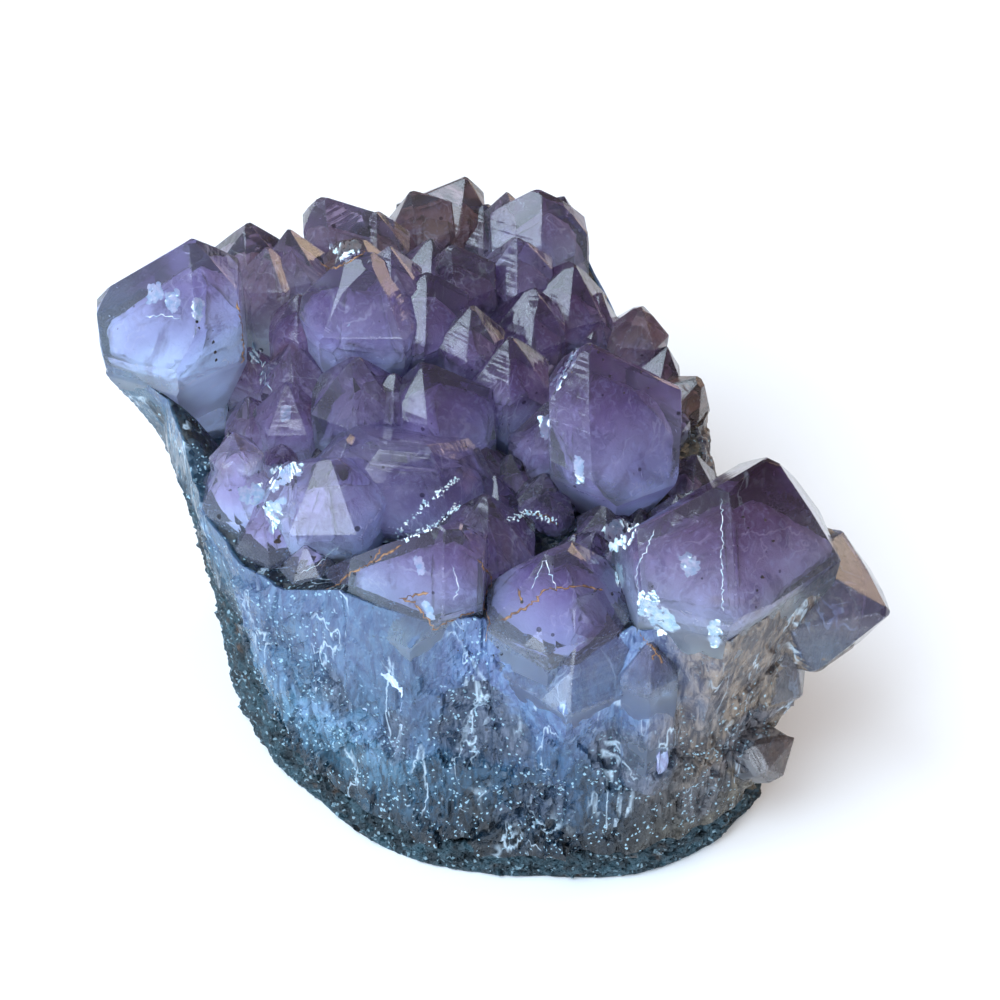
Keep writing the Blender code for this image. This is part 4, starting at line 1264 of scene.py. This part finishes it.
# %% black grains and rust
BLACK_GRAINS = [
    (743, 517, 0.30), (765, 520, 0.35), (748, 528, 0.22), (773, 541, 0.30), (762, 577, 0.45), (757, 590, 0.28),
    (197, 322, 0.30), (199, 328, 0.25), (213, 342, 0.35), (215, 352, 0.45), (216, 360, 0.3), (277, 541, 0.75),
    (279, 537, 0.5), (590, 345, 0.25), (598, 352, 0.25), (603, 360, 0.22), (610, 376, 0.25), (624, 393, 0.22),
    (374, 562, 0.3), (371, 557, 0.25), (337, 573, 0.2), (296, 573, 0.25), (490, 587, 0.4), (612, 594, 0.4),
    (657, 649, 0.5), (522, 602, 0.35), (641, 372, 0.2), (648, 388, 0.2), (572, 372, 0.2), (466, 447, 0.2),
]
grain_rng = np.random.default_rng(41)
listed = np.array(BLACK_GRAINS)
milky_spots = np.stack([grain_rng.uniform(455, 505, 26), grain_rng.uniform(612, 662, 26)], axis=1)
grain_pixels = np.vstack([listed[:, :2], milky_spots])
where, normals, _ = seen_at(grain_pixels)
grain_sizes = np.append(listed[:, 2], grain_rng.uniform(0.08, 0.16, 26))[:len(where)]
grains = plates(where + normals * 0.02, normals, grain_sizes * 0.8, 0.25, grain_rng, 6, 1.15)
grains_mesh = into_mesh("black_grains", *grains)

RUST_LINES = [
    ((325, 590), (340, 583), (352, 572), (372, 563), (388, 553), (402, 545)), ((372, 562), (380, 548)),
    ((402, 598), (414, 603), (424, 616), (435, 629), (449, 621), (462, 617), (476, 611)),
    ((398, 598), (412, 596), (428, 593)), ((487, 590), (483, 606), (489, 621), (486, 640)),
    ((500, 622), (515, 613), (530, 605), (546, 589), (566, 588), (586, 586), (603, 590)),
    ((519, 590), (522, 603)), ((640, 634), (650, 645), (659, 655), (662, 664)), ((657, 652), (651, 661)),
    ((812, 470), (826, 500), (836, 530)), ((318, 262), (330, 268), (350, 262), (368, 250)),
    ((236, 300), (243, 330), (242, 362)),
    ((478, 560), (490, 574), (491, 588)), ((525, 512), (545, 515), (558, 526)),
]
rust_mesh = into_mesh("rust_lines", *joined([ribbon(line, grain_rng, 0.26, 0.05) for line in RUST_LINES]))
print("black grains:", len(grains_mesh.polygons), "faces, rust:", len(rust_mesh.polygons), "faces")

# %% [markdown]
# ## Helpers for materials
# A material is a tree of small steps. These helpers add a step and wire it in one line, so that
# each material below reads as a list of what is laid over what.

# %% wiring helpers
def give(tree, socket, value):
    """Gives an input a value, or wires another node's output to it."""
    if isinstance(value, bpy.types.NodeSocket):
        tree.links.new(value, socket)
    else:
        socket.default_value = value


def add(tree, kind, feeds=None, **settings):
    """Adds a node: settings are its own properties, and feeds says what each of its inputs gets."""
    node = tree.nodes.new(kind)
    for name, value in settings.items():
        setattr(node, name, value)
    for name, value in (feeds or {}).items():
        give(tree, node.inputs[name], value)
    return node


def reckon(tree, operation, first, second=0.0, third=0.0, clamp=False):
    """One step of arithmetic on values that change over the surface."""
    feeds = {0: first, 1: second, 2: third}
    return add(tree, "ShaderNodeMath", feeds, operation=operation, use_clamp=clamp).outputs[0]


def between(tree, value, low, high):
    """0 below the first limit, 1 above the second, smooth between; the limits may stand the other way."""
    feeds = {"Value": value, "From Min": low, "From Max": high}
    made = add(tree, "ShaderNodeMapRange", feeds, interpolation_type="SMOOTHSTEP", clamp=True)
    return made.outputs["Result"]


def both(tree, first, second):
    """What two masks have in common: one times the other."""
    return reckon(tree, "MULTIPLY", first, second)


def mixed(tree, share, first, second, blend="MIX"):
    """Two colours laid over each other by a share."""
    feeds = {0: share, 6: first, 7: second}
    return add(tree, "ShaderNodeMix", feeds, data_type="RGBA", blend_type=blend).outputs[2]


def laid(tree, base, mask, strength, colour):
    """A colour laid over the base where a mask is, at a strength."""
    return mixed(tree, reckon(tree, "MULTIPLY", mask, strength), base, colour)


def ramp(tree, value, stops):
    """A colour that changes evenly between stops: pairs of a value and a colour."""
    node = add(tree, "ShaderNodeValToRGB")
    low, high = stops[0][0], stops[-1][0]
    share = reckon(tree, "DIVIDE", reckon(tree, "SUBTRACT", value, low), high - low, clamp=True)
    tree.links.new(share, node.inputs["Fac"])
    marks = node.color_ramp.elements
    marks[0].position, marks[0].color = 0.0, rgb(*stops[0][1])
    marks[1].position, marks[1].color = 1.0, rgb(*stops[-1][1])
    for at, colour in stops[1:-1]:
        marks.new((at - low) / (high - low)).color = rgb(*colour)
    return node.outputs["Color"]


def rgb(red, green, blue):
    """A colour with full cover."""
    return (red, green, blue, 1.0)


def millimetres(tree, squeeze=(1.0, 1.0, 1.0)):
    """Object coordinates in millimetres; squeeze below 1 stretches what is drawn on that axis."""
    place = add(tree, "ShaderNodeTexCoord").outputs["Object"]
    scale = tuple(1000.0 * s for s in squeeze)
    return add(tree, "ShaderNodeMapping", {"Vector": place, "Scale": scale}).outputs["Vector"]


def noise(tree, place, per_mm, detail=4.0, twist=0.0, rough=0.55):
    """Cloudy noise around 0.5 with the given number of lumps in a millimetre."""
    feeds = {"Vector": place, "Scale": per_mm, "Detail": detail, "Distortion": twist, "Roughness": rough}
    return add(tree, "ShaderNodeTexNoise", feeds).outputs["Fac"]


def cells(tree, place, per_mm, feature="F1"):
    """Cells round scattered places: the node, for its distance and its own colour."""
    return add(tree, "ShaderNodeTexVoronoi", {"Vector": place, "Scale": per_mm}, feature=feature)


def attribute(tree, name):
    """A value or colour stored on the mesh."""
    return add(tree, "ShaderNodeAttribute", attribute_name=name).outputs


def group_of(name, inputs, outputs):
    """An empty shader node group with named number inputs and named outputs of a kind."""
    tree = bpy.data.node_groups.new(name, "ShaderNodeTree")
    for label, kind, value in inputs:
        socket = tree.interface.new_socket(label, in_out="INPUT", socket_type=kind)
        if value is not None:
            socket.default_value = value
    for label, kind in outputs:
        tree.interface.new_socket(label, in_out="OUTPUT", socket_type=kind)
    return tree, tree.nodes.new("NodeGroupInput").outputs, tree.nodes.new("NodeGroupOutput").inputs


def use(tree, group, feeds):
    """Places a node group in a material and gives its outputs."""
    return add(tree, "ShaderNodeGroup", feeds, node_tree=group).outputs

# %% [markdown]
# ## Effects that several finishes share
# Quartz of every kind here shows healed cracks: curved sheets inside that come out as thin pale
# lines. A thin band where smooth noise crosses its middle value follows such a sheet exactly. Grit,
# dark grains grown into the surface, comes from scattered cells of which only a few are kept. Broken
# quartz and rock glitter, because each tiny break faces its own way: each cell tilts the normal
# by its own amount.

# %% shared groups
NUMBER, ARROW = "NodeSocketFloat", "NodeSocketVector"

healed_cracks, given, gives = group_of(
    "healed_cracks", [("Place", ARROW, None), ("Per mm", NUMBER, 0.1), ("Width", NUMBER, 0.02)],
    [("Mask", NUMBER)],
)
sheet = noise(healed_cracks, given["Place"], given["Per mm"], 3.0, 0.6)
away = reckon(healed_cracks, "ABSOLUTE", reckon(healed_cracks, "SUBTRACT", sheet, 0.5))
off_it = reckon(healed_cracks, "DIVIDE", away, given["Width"])
line = reckon(healed_cracks, "SUBTRACT", 1.0, off_it, clamp=True)
patchy = between(healed_cracks, noise(healed_cracks, given["Place"], 0.16, 2.0), 0.48, 0.62)
healed_cracks.links.new(reckon(healed_cracks, "MULTIPLY", line, patchy), gives["Mask"])

grit, given, gives = group_of(
    "grit", [("Place", ARROW, None), ("Per mm", NUMBER, 0.5), ("Size", NUMBER, 0.2), ("Share", NUMBER, 0.2)],
    [("Mask", NUMBER)],
)
spots = cells(grit, given["Place"], given["Per mm"])
pick = add(grit, "ShaderNodeSeparateColor", {"Color": spots.outputs["Color"]}).outputs
chosen = reckon(grit, "LESS_THAN", pick["Red"], given["Share"])
size = reckon(grit, "MULTIPLY", given["Size"], reckon(grit, "ADD", pick["Green"], 0.4))
near = reckon(grit, "LESS_THAN", spots.outputs["Distance"], size)
grit.links.new(reckon(grit, "MULTIPLY", chosen, near), gives["Mask"])

glitter, given, gives = group_of(
    "glitter", [("Place", ARROW, None), ("Per mm", NUMBER, 1.0), ("Tilt", NUMBER, 0.5)],
    [("Normal", ARROW), ("Own", NUMBER)],
)
flakes = cells(glitter, given["Place"], given["Per mm"]).outputs["Color"]
spread = add(glitter, "ShaderNodeVectorMath", {0: flakes, 1: (0.5, 0.5, 0.5)}, operation="SUBTRACT")
tilt = add(glitter, "ShaderNodeVectorMath", {0: spread.outputs[0], "Scale": given["Tilt"]}, operation="SCALE")
square = add(glitter, "ShaderNodeNewGeometry").outputs["Normal"]
leaned = add(glitter, "ShaderNodeVectorMath", {0: square, 1: tilt.outputs[0]}, operation="ADD")
facing = add(glitter, "ShaderNodeVectorMath", {0: leaned.outputs[0]}, operation="NORMALIZE")
glitter.links.new(facing.outputs[0], gives["Normal"])
own = add(glitter, "ShaderNodeSeparateColor", {"Color": flakes}).outputs["Blue"]
glitter.links.new(own, gives["Own"])
print("groups:", [g.name for g in bpy.data.node_groups])


def new_material(name):
    """A material with an empty tree, its surface shader and its output."""
    made = bpy.data.materials.new(name)
    made.use_nodes = True
    tree = made.node_tree
    tree.nodes.clear()
    shader = tree.nodes.new("ShaderNodeBsdfPrincipled")
    end = tree.nodes.new("ShaderNodeOutputMaterial")
    tree.links.new(shader.outputs["BSDF"], end.inputs["Surface"])
    return made, tree, shader, end


def wire(tree, shader, **feeds):
    """Sets the shader's inputs: underscores in the names stand for spaces."""
    for name, value in feeds.items():
        give(tree, shader.inputs[name.replace("_", " ")], value)

# %% [markdown]
# ## Amethyst
# The tone of each point is already stored on its corners. Over it come cloudy wisps and healed
# cracks, bands of growth across the point, grains of dirt, pale worn edges, and rust in the seams
# between neighbours. The crystal lets light through, bends it as quartz does and absorbs more
# of its yellow and green on the way, so thick tips go dark by themselves. A tenth of the light is
# scattered by fine clouds near the surface, which a plain glass would not show.

# %% the amethyst material
CLEAR_SHARE = 0.9
QUARTZ_BEND = 1.55


def own_space(tree, place):
    """The place moved by the point's own number, so that every point has clouds of its own."""
    moved = reckon(tree, "MULTIPLY", attribute(tree, "own_number")["Fac"], 90.0)
    shift = add(tree, "ShaderNodeCombineXYZ", {"X": moved}).outputs[0]
    return add(tree, "ShaderNodeVectorMath", {0: place, 1: shift}, operation="ADD").outputs[0]


amethyst, tree, shader, end = new_material("amethyst")
place = millimetres(tree)
own_place = own_space(tree, place)
tone_colour = attribute(tree, "tone")["Color"]
milk_share = attribute(tree, "milk")["Fac"]
depth = attribute(tree, "below_tip")["Fac"]

wisps = between(tree, noise(tree, own_place, 0.14, 4.0, 0.9, 0.6), 0.52, 0.78)
fine = noise(tree, own_place, 0.5, 3.0, 1.4, 0.65)
fine_wisps = between(tree, fine, 0.55, 0.8)
dark_clouds = between(tree, noise(tree, own_place, 0.10, 1.0, 0.4), 0.42, 0.64)
base = laid(tree, tone_colour, dark_clouds, 0.3, rgb(0.18, 0.12, 0.30))
base = laid(tree, base, wisps, 0.35, rgb(0.80, 0.82, 0.95))
base = laid(tree, base, fine_wisps, 0.25, rgb(0.86, 0.88, 0.97))
cracks = use(tree, healed_cracks, {"Place": own_place, "Per mm": 0.11, "Width": 0.012})["Mask"]
base = laid(tree, base, cracks, 0.8, rgb(0.85, 0.90, 1.0))
edge_pale = between(tree, attribute(tree, "edge_gap")["Fac"], 0.5, 0.0)
base = laid(tree, base, edge_pale, 0.12, rgb(0.45, 0.45, 0.62))
seam = between(tree, attribute(tree, "seam_gap")["Fac"], 1.2, 0.0)
rust = reckon(tree, "MULTIPLY", seam, between(tree, noise(tree, place, 0.12, 2.0), 0.56, 0.68))
base = laid(tree, base, rust, 0.6, rgb(0.20, 0.085, 0.03))
specks = use(tree, grit, {"Place": place, "Per mm": 0.55, "Size": 0.16, "Share": 0.10})["Mask"]
base = laid(tree, base, specks, 0.85, rgb(0.015, 0.010, 0.010))

down = reckon(tree, "MULTIPLY", depth, 1.4)
beside = reckon(tree, "MULTIPLY", attribute(tree, "own_number")["Fac"], 40.0)
steps = noise(tree, add(tree, "ShaderNodeCombineXYZ", {"X": down, "Y": beside}).outputs[0], 1.0, 1.0)
ripple = noise(tree, own_place, 0.35, 1.0, 0.3)
relief = reckon(tree, "ADD", reckon(tree, "MULTIPLY", steps, 0.35), reckon(tree, "MULTIPLY", ripple, 0.7))
bump = add(tree, "ShaderNodeBump", {"Height": relief, "Distance": 0.0004, "Strength": 0.35})
gloss = between(tree, fine, 0.45, 0.75)
gloss = reckon(tree, "MULTIPLY_ADD", gloss, 0.16, 0.05)
gloss = reckon(tree, "MULTIPLY_ADD", milk_share, 0.42, gloss)
gloss = reckon(tree, "MULTIPLY_ADD", edge_pale, 0.15, gloss, clamp=True)
wire(
    tree, shader, Base_Color=base, Roughness=gloss, IOR=QUARTZ_BEND, Transmission_Weight=CLEAR_SHARE,
    Normal=bump.outputs[0],
)
absorb = add(tree, "ShaderNodeVolumeAbsorption", {"Color": rgb(0.56, 0.33, 0.70), "Density": 54.0})
tree.links.new(absorb.outputs[0], end.inputs["Volume"])

# %% [markdown]
# ## Clouded hearts
# The hearts show only through clear quartz. They are milk-white with wisps, a few healed cracks
# that flash, and rust where water crept in. A plain shader stops light at their surface, where real
# clouds hand it on, so the hearts at the shaded left end have a weak inner light that stands for it.

# %% the clouded quartz material
clouded_quartz, tree, shader, end = new_material("clouded_quartz")
place = millimetres(tree)
own_place = own_space(tree, place)
clouds = noise(tree, own_place, 0.16, 3.0, 0.9, 0.6)
base = attribute(tree, "tone")["Color"]
base = laid(tree, base, between(tree, clouds, 0.52, 0.36), 0.6, rgb(0.15, 0.10, 0.24))
base = laid(tree, base, between(tree, clouds, 0.55, 0.76), 0.5, rgb(0.74, 0.80, 0.97))
fine = noise(tree, own_place, 0.7, 3.0, 1.4, 0.6)
base = laid(tree, base, between(tree, fine, 0.50, 0.72), 0.5, rgb(0.70, 0.78, 0.96))
cracks = use(tree, healed_cracks, {"Place": own_place, "Per mm": 0.13, "Width": 0.016})["Mask"]
base = laid(tree, base, cracks, 0.7, rgb(0.90, 0.96, 1.0))
rust = between(tree, noise(tree, place, 0.09, 2.0, 0.5), 0.62, 0.74)
base = laid(tree, base, rust, 0.4, rgb(0.34, 0.20, 0.10))
specks = use(tree, grit, {"Place": own_place, "Per mm": 0.8, "Size": 0.14, "Share": 0.10})["Mask"]
base = laid(tree, base, specks, 0.8, rgb(0.03, 0.02, 0.03))
bump = add(tree, "ShaderNodeBump", {"Height": fine, "Distance": 0.0006, "Strength": 0.5})
gloss = reckon(tree, "MULTIPLY_ADD", fine, 0.5, 0.2)
axes = add(tree, "ShaderNodeSeparateXYZ", {0: place}).outputs
lit = both(tree, between(tree, axes["X"], -18.0, -34.0), between(tree, axes["Z"], 66.0, 56.0))
inner_light = mixed(tree, lit, rgb(0.0, 0.0, 0.0), base)
wire(
    tree, shader, Base_Color=base, Roughness=gloss, Normal=bump.outputs[0],
    Emission_Color=inner_light, Emission_Strength=0.22,
)

# %% [markdown]
# ## The wall's quartz
# The wall is a crust of fibres, cloudy with tiny bubbles: milk-white and silky where it climbs onto
# the points, blue lower down and nearly black against the rock, browner to the right, glassy in the
# windows. Painted shade darkens the windows, the middle and upper left of the wall, and strips at the
# left end. Its breaks flash: each small cell of a net faces and shines its own way, and a few tiny
# cells have painted glints in their colour.

# %% the milky quartz material
milky_quartz, tree, shader, end = new_material("milky_quartz")
place = millimetres(tree)
fibre_place = millimetres(tree, (1.0, 1.0, 0.35))
axes = add(tree, "ShaderNodeSeparateXYZ", {0: place}).outputs
fibres = noise(tree, fibre_place, 0.75, 6.0, 0.7, 0.66)
clouds = noise(tree, place, 0.12, 4.0, 0.8)
climbing = attribute(tree, "over_points")["Fac"]
level = reckon(tree, "MULTIPLY_ADD", clouds, 30.0, reckon(tree, "SUBTRACT", axes["Z"], 17.0))
level = reckon(tree, "MULTIPLY_ADD", climbing, 3.0, level)
over_rock = reckon(tree, "MULTIPLY_ADD", attribute(tree, "above_skin")["Fac"], 1.7, 2.5)
level = reckon(tree, "SMOOTH_MIN", level, over_rock, 6.0)
bright = ramp(tree, level, [
    (2.0, (0.010, 0.034, 0.050)), (9.0, (0.040, 0.115, 0.175)), (17.0, (0.105, 0.22, 0.33)),
    (27.0, (0.19, 0.30, 0.48)), (37.0, (0.27, 0.35, 0.56)),
])
dark = ramp(tree, level, [
    (2.0, (0.002, 0.006, 0.010)), (9.0, (0.006, 0.020, 0.036)), (17.0, (0.022, 0.060, 0.100)),
    (27.0, (0.070, 0.120, 0.23)), (37.0, (0.17, 0.20, 0.38)),
])
base = mixed(tree, between(tree, fibres, 0.38, 0.62), dark, bright)
# Painted shade: the wall is darkened in the middle and at the upper left, where the lights fall on it most
upper_left_painted_shade = both(tree, between(tree, axes["X"], -1.0, -14.0), between(tree, axes["Z"], 20.0, 30.0))
base = mixed(tree, upper_left_painted_shade, base, rgb(0.34, 0.44, 0.46), "MULTIPLY")
middle = between(tree, axes["X"], -22.0, -6.0)
base = mixed(tree, middle, base, rgb(0.42, 0.52, 0.58), "MULTIPLY")
low_middle_painted_shade = both(tree, between(tree, axes["X"], -14.0, 6.0), between(tree, axes["Z"], 36.0, 20.0))
base = mixed(tree, low_middle_painted_shade, base, rgb(0.40, 0.50, 0.58), "MULTIPLY")
brown_side = between(tree, reckon(tree, "MULTIPLY_ADD", clouds, 24.0, axes["X"]), 27.0, 48.0)
brown = mixed(tree, between(tree, fibres, 0.38, 0.64), rgb(0.040, 0.028, 0.020), rgb(0.26, 0.19, 0.125))
base = laid(tree, base, brown_side, 0.88, brown)
# Painted shade: dark teal strips over the left end of the wall
left_end_painted_shade = both(tree, between(tree, axes["X"], -30.0, -44.0), between(tree, clouds, 0.60, 0.45))
base = laid(tree, base, left_end_painted_shade, 0.75, rgb(0.045, 0.095, 0.14))
near_rock = between(tree, attribute(tree, "above_skin")["Fac"], 13.0, 2.0)
base = mixed(tree, near_rock, base, rgb(0.48, 0.58, 0.64), "MULTIPLY")
# Painted shade in the windows: a dark colour laid where the crust broke away deeper
window_share = attribute(tree, "shade")["Fac"]
hollow = mixed(tree, between(tree, fibres, 0.42, 0.66), rgb(0.020, 0.032, 0.055), rgb(0.10, 0.11, 0.15))
base = laid(tree, base, window_share, 0.85, hollow)
cracks = use(tree, healed_cracks, {"Place": fibre_place, "Per mm": 0.18, "Width": 0.022})["Mask"]
base = laid(tree, base, cracks, 0.6, rgb(0.66, 0.82, 0.95))
specks = use(tree, grit, {"Place": place, "Per mm": 0.9, "Size": 0.2, "Share": 0.10})["Mask"]
base = laid(tree, base, specks, 0.6, rgb(0.02, 0.02, 0.02))
rough_part = reckon(tree, "SUBTRACT", 1.0, reckon(tree, "MULTIPLY", climbing, 0.8))
# Painted glints: a few tiny cells, more of them in swarms, are painted pale cyan on the rough wall
tiny = use(tree, glitter, {"Place": place, "Per mm": 3.2, "Tilt": 0.0})["Own"]
in_swarms = between(tree, noise(tree, place, 0.3, 2.0), 0.42, 0.64)
rare = reckon(tree, "SUBTRACT", 0.985, reckon(tree, "MULTIPLY", in_swarms, 0.07))
flashes = reckon(tree, "GREATER_THAN", tiny, rare)
flashes = reckon(tree, "MULTIPLY", flashes, rough_part)
base = laid(tree, base, flashes, 0.5, rgb(0.46, 0.72, 0.86))
tilt = reckon(tree, "MULTIPLY_ADD", rough_part, 0.60, 0.08)
sparks = use(tree, glitter, {"Place": fibre_place, "Per mm": 1.2, "Tilt": tilt})
feeds = {"Height": fibres, "Distance": 0.0007, "Strength": 0.55, "Normal": sparks["Normal"]}
bump = add(tree, "ShaderNodeBump", feeds)
gloss = reckon(tree, "MULTIPLY_ADD", sparks["Own"], 0.30, 0.08)
wire(tree, shader, Base_Color=base, Roughness=gloss, Normal=bump.outputs[0])

# %% [markdown]
# ## Flashes, grains and rust
# Healed cracks throw light back like thin foil, a little cyan, and that glint is painted into the pale
# colour of the flakes. The grains are black and half matt, and the rust is an orange-brown film, darker
# where it is thick.

# %% flash, grain and rust materials
painted_glint_flake, tree, shader, end = new_material("painted_glint_flake")
shade = noise(tree, millimetres(tree), 1.2, 3.0)
# Painted glint: pale cyan to white flakes, crumbs and edge ribbons, bright whatever the light
base = mixed(tree, between(tree, shade, 0.35, 0.65), rgb(0.55, 0.78, 0.86), rgb(0.96, 1.0, 1.0))
wire(tree, shader, Base_Color=base, Roughness=0.3)

black_grain, tree, shader, end = new_material("black_grain")
shade = noise(tree, millimetres(tree), 2.0, 3.0)
base = mixed(tree, between(tree, shade, 0.4, 0.7), rgb(0.006, 0.005, 0.006), rgb(0.06, 0.035, 0.025))
wire(tree, shader, Base_Color=base, Roughness=0.5)

rust_film, tree, shader, end = new_material("rust_film")
shade = noise(tree, millimetres(tree), 0.9, 4.0)
base = mixed(tree, between(tree, shade, 0.35, 0.65), rgb(0.085, 0.030, 0.012), rgb(0.40, 0.21, 0.09))
wire(tree, shader, Base_Color=base, Roughness=0.65)

# %% [markdown]
# ## Dark rock with glittering grains
# The skin is basalt that turned green-black as the quartz grew. Small plates and grains in it
# shine when they face the light, and grains of pale quartz are caught in it.

# %% the rock material
dark_rock, tree, shader, end = new_material("dark_rock")
place = millimetres(tree)
patches = noise(tree, place, 0.35, 5.0, 0.3)
base = mixed(tree, between(tree, patches, 0.38, 0.66), rgb(0.007, 0.017, 0.024), rgb(0.030, 0.072, 0.095))
sparks = use(tree, glitter, {"Place": place, "Per mm": 2.2, "Tilt": 1.3})
pale = reckon(tree, "GREATER_THAN", sparks["Own"], 0.93)
base = laid(tree, base, pale, 0.6, rgb(0.26, 0.40, 0.47))
rusty = between(tree, noise(tree, place, 0.22, 3.0), 0.60, 0.72)
base = laid(tree, base, rusty, 0.4, rgb(0.16, 0.08, 0.04))
grain = noise(tree, place, 1.6, 4.0)
feeds = {"Height": grain, "Distance": 0.0008, "Strength": 0.6, "Normal": sparks["Normal"]}
bump = add(tree, "ShaderNodeBump", feeds)
gloss = reckon(tree, "SUBTRACT", 0.62, reckon(tree, "MULTIPLY", pale, 0.42))
wire(tree, shader, Base_Color=base, Roughness=gloss, Normal=bump.outputs[0])

# %% [markdown]
# ## The pieces take their places
# Each piece rides on the one body and stands for the solid that it dresses.

# %% pieces in place
points_piece = show("amethyst_points", fine_quartz, amethyst)
hearts_piece = show("milky_hearts", hearts_mesh, clouded_quartz)
wall_piece = show("quartz_wall", wall_mesh, milky_quartz)
skin_piece = show("rock_skin", skin_mesh, dark_rock)
quartz_pieces = (
    points_piece, hearts_piece, wall_piece, show("healed_cracks", flashes_mesh, painted_glint_flake),
    show("black_grains", grains_mesh, black_grain), show("rust_lines", rust_mesh, rust_film),
)
for piece in quartz_pieces:
    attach(piece, "root")
    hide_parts("amethyst_crystals")
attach(skin_piece, "root")
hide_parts("basalt_rind")
print("pieces:", [(p.name, len(p.data.polygons)) for p in (*quartz_pieces, skin_piece)])

# %% [markdown]
# ## Floor and light
# The floor is a plain pale sheet. The light is what daylight from a window is to a stone on a
# table: a broad cool source high at the front left, a weaker one low at the front, the pale room
# all round, and a weak warm light from the back right. Clear crystal shows mostly what is round it,
# so the room is bright.

# %% the floor
FLOOR_HALF = 1500.0
side = np.linspace(-FLOOR_HALF, FLOOR_HALF, 9)
across, along = np.meshgrid(side, side)
grid = np.stack([across, along, 0 * across], axis=-1).reshape(-1, 3)
number = np.arange(side.size**2).reshape(side.size, -1)
quads = np.stack([number[:-1, :-1], number[:-1, 1:], number[1:, 1:], number[1:, :-1]], axis=-1).reshape(-1, 4)
pale_floor, tree, shader, end = new_material("pale_floor")
grain = noise(tree, millimetres(tree), 0.02, 3.0)
base = mixed(tree, grain, rgb(0.88, 0.88, 0.88), rgb(0.93, 0.93, 0.93))
wire(tree, shader, Base_Color=base, Roughness=0.75)
floor = show("floor", into_mesh("floor", grid, quads.tolist()), pale_floor)
floor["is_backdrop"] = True

# %% the light
def window(name, place, size, power, colour):
    """A square soft light in watts at a place in millimetres, facing the piece."""
    light = bpy.data.lights.new(name, "AREA")
    light.size, light.energy, light.color = size * MM, power, colour
    made = bpy.data.objects.new(name, light)
    bpy.context.scene.collection.objects.link(made)
    made.location = Vector(np.array(place) * MM)
    made.rotation_mode = "QUATERNION"
    made.rotation_quaternion = (Vector(TARGET * MM) - made.location).to_track_quat("-Z", "Y")
    return made


window("key_sky", (-450, -340, 860), 780, 12.5, (0.70, 0.85, 1.0))
window("low_front", (-180, -620, 90), 560, 5.0, (0.76, 0.87, 1.0))
window("warm_back", (620, 420, 380), 500, 3.5, (1.0, 0.78, 0.58))

# The room: brighter and cooler overhead and to the left, dimmer and warmer to the right
BRIGHT_WAY = (-0.75, -0.35, 0.56)
room = bpy.data.worlds.new("room")
bpy.context.scene.world = room
room.use_nodes = True
tree = room.node_tree
way = add(tree, "ShaderNodeTexCoord").outputs["Generated"]
feeds = {0: way, 1: BRIGHT_WAY}
facing = add(tree, "ShaderNodeVectorMath", feeds, operation="DOT_PRODUCT").outputs["Value"]
sky = mixed(tree, between(tree, facing, -0.5, 0.95), rgb(0.26, 0.21, 0.20), rgb(0.84, 0.95, 1.10))
tree.links.new(sky, tree.nodes["Background"].inputs["Color"])
tree.nodes["Background"].inputs["Strength"].default_value = 0.75
bpy.context.scene.view_settings.view_transform = "Standard"

# %% [markdown]
# ## Sizes and the end
# The two boxes, of the solids and of what is seen, are printed together.

# %% sizes
seen_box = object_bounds()
plain = [[list(map(float, corner)) for corner in box] for box in (cad_box, seen_box)]
print("solids and seen, in mm:", np.round(np.array(plain) / MM, 2).tolist())
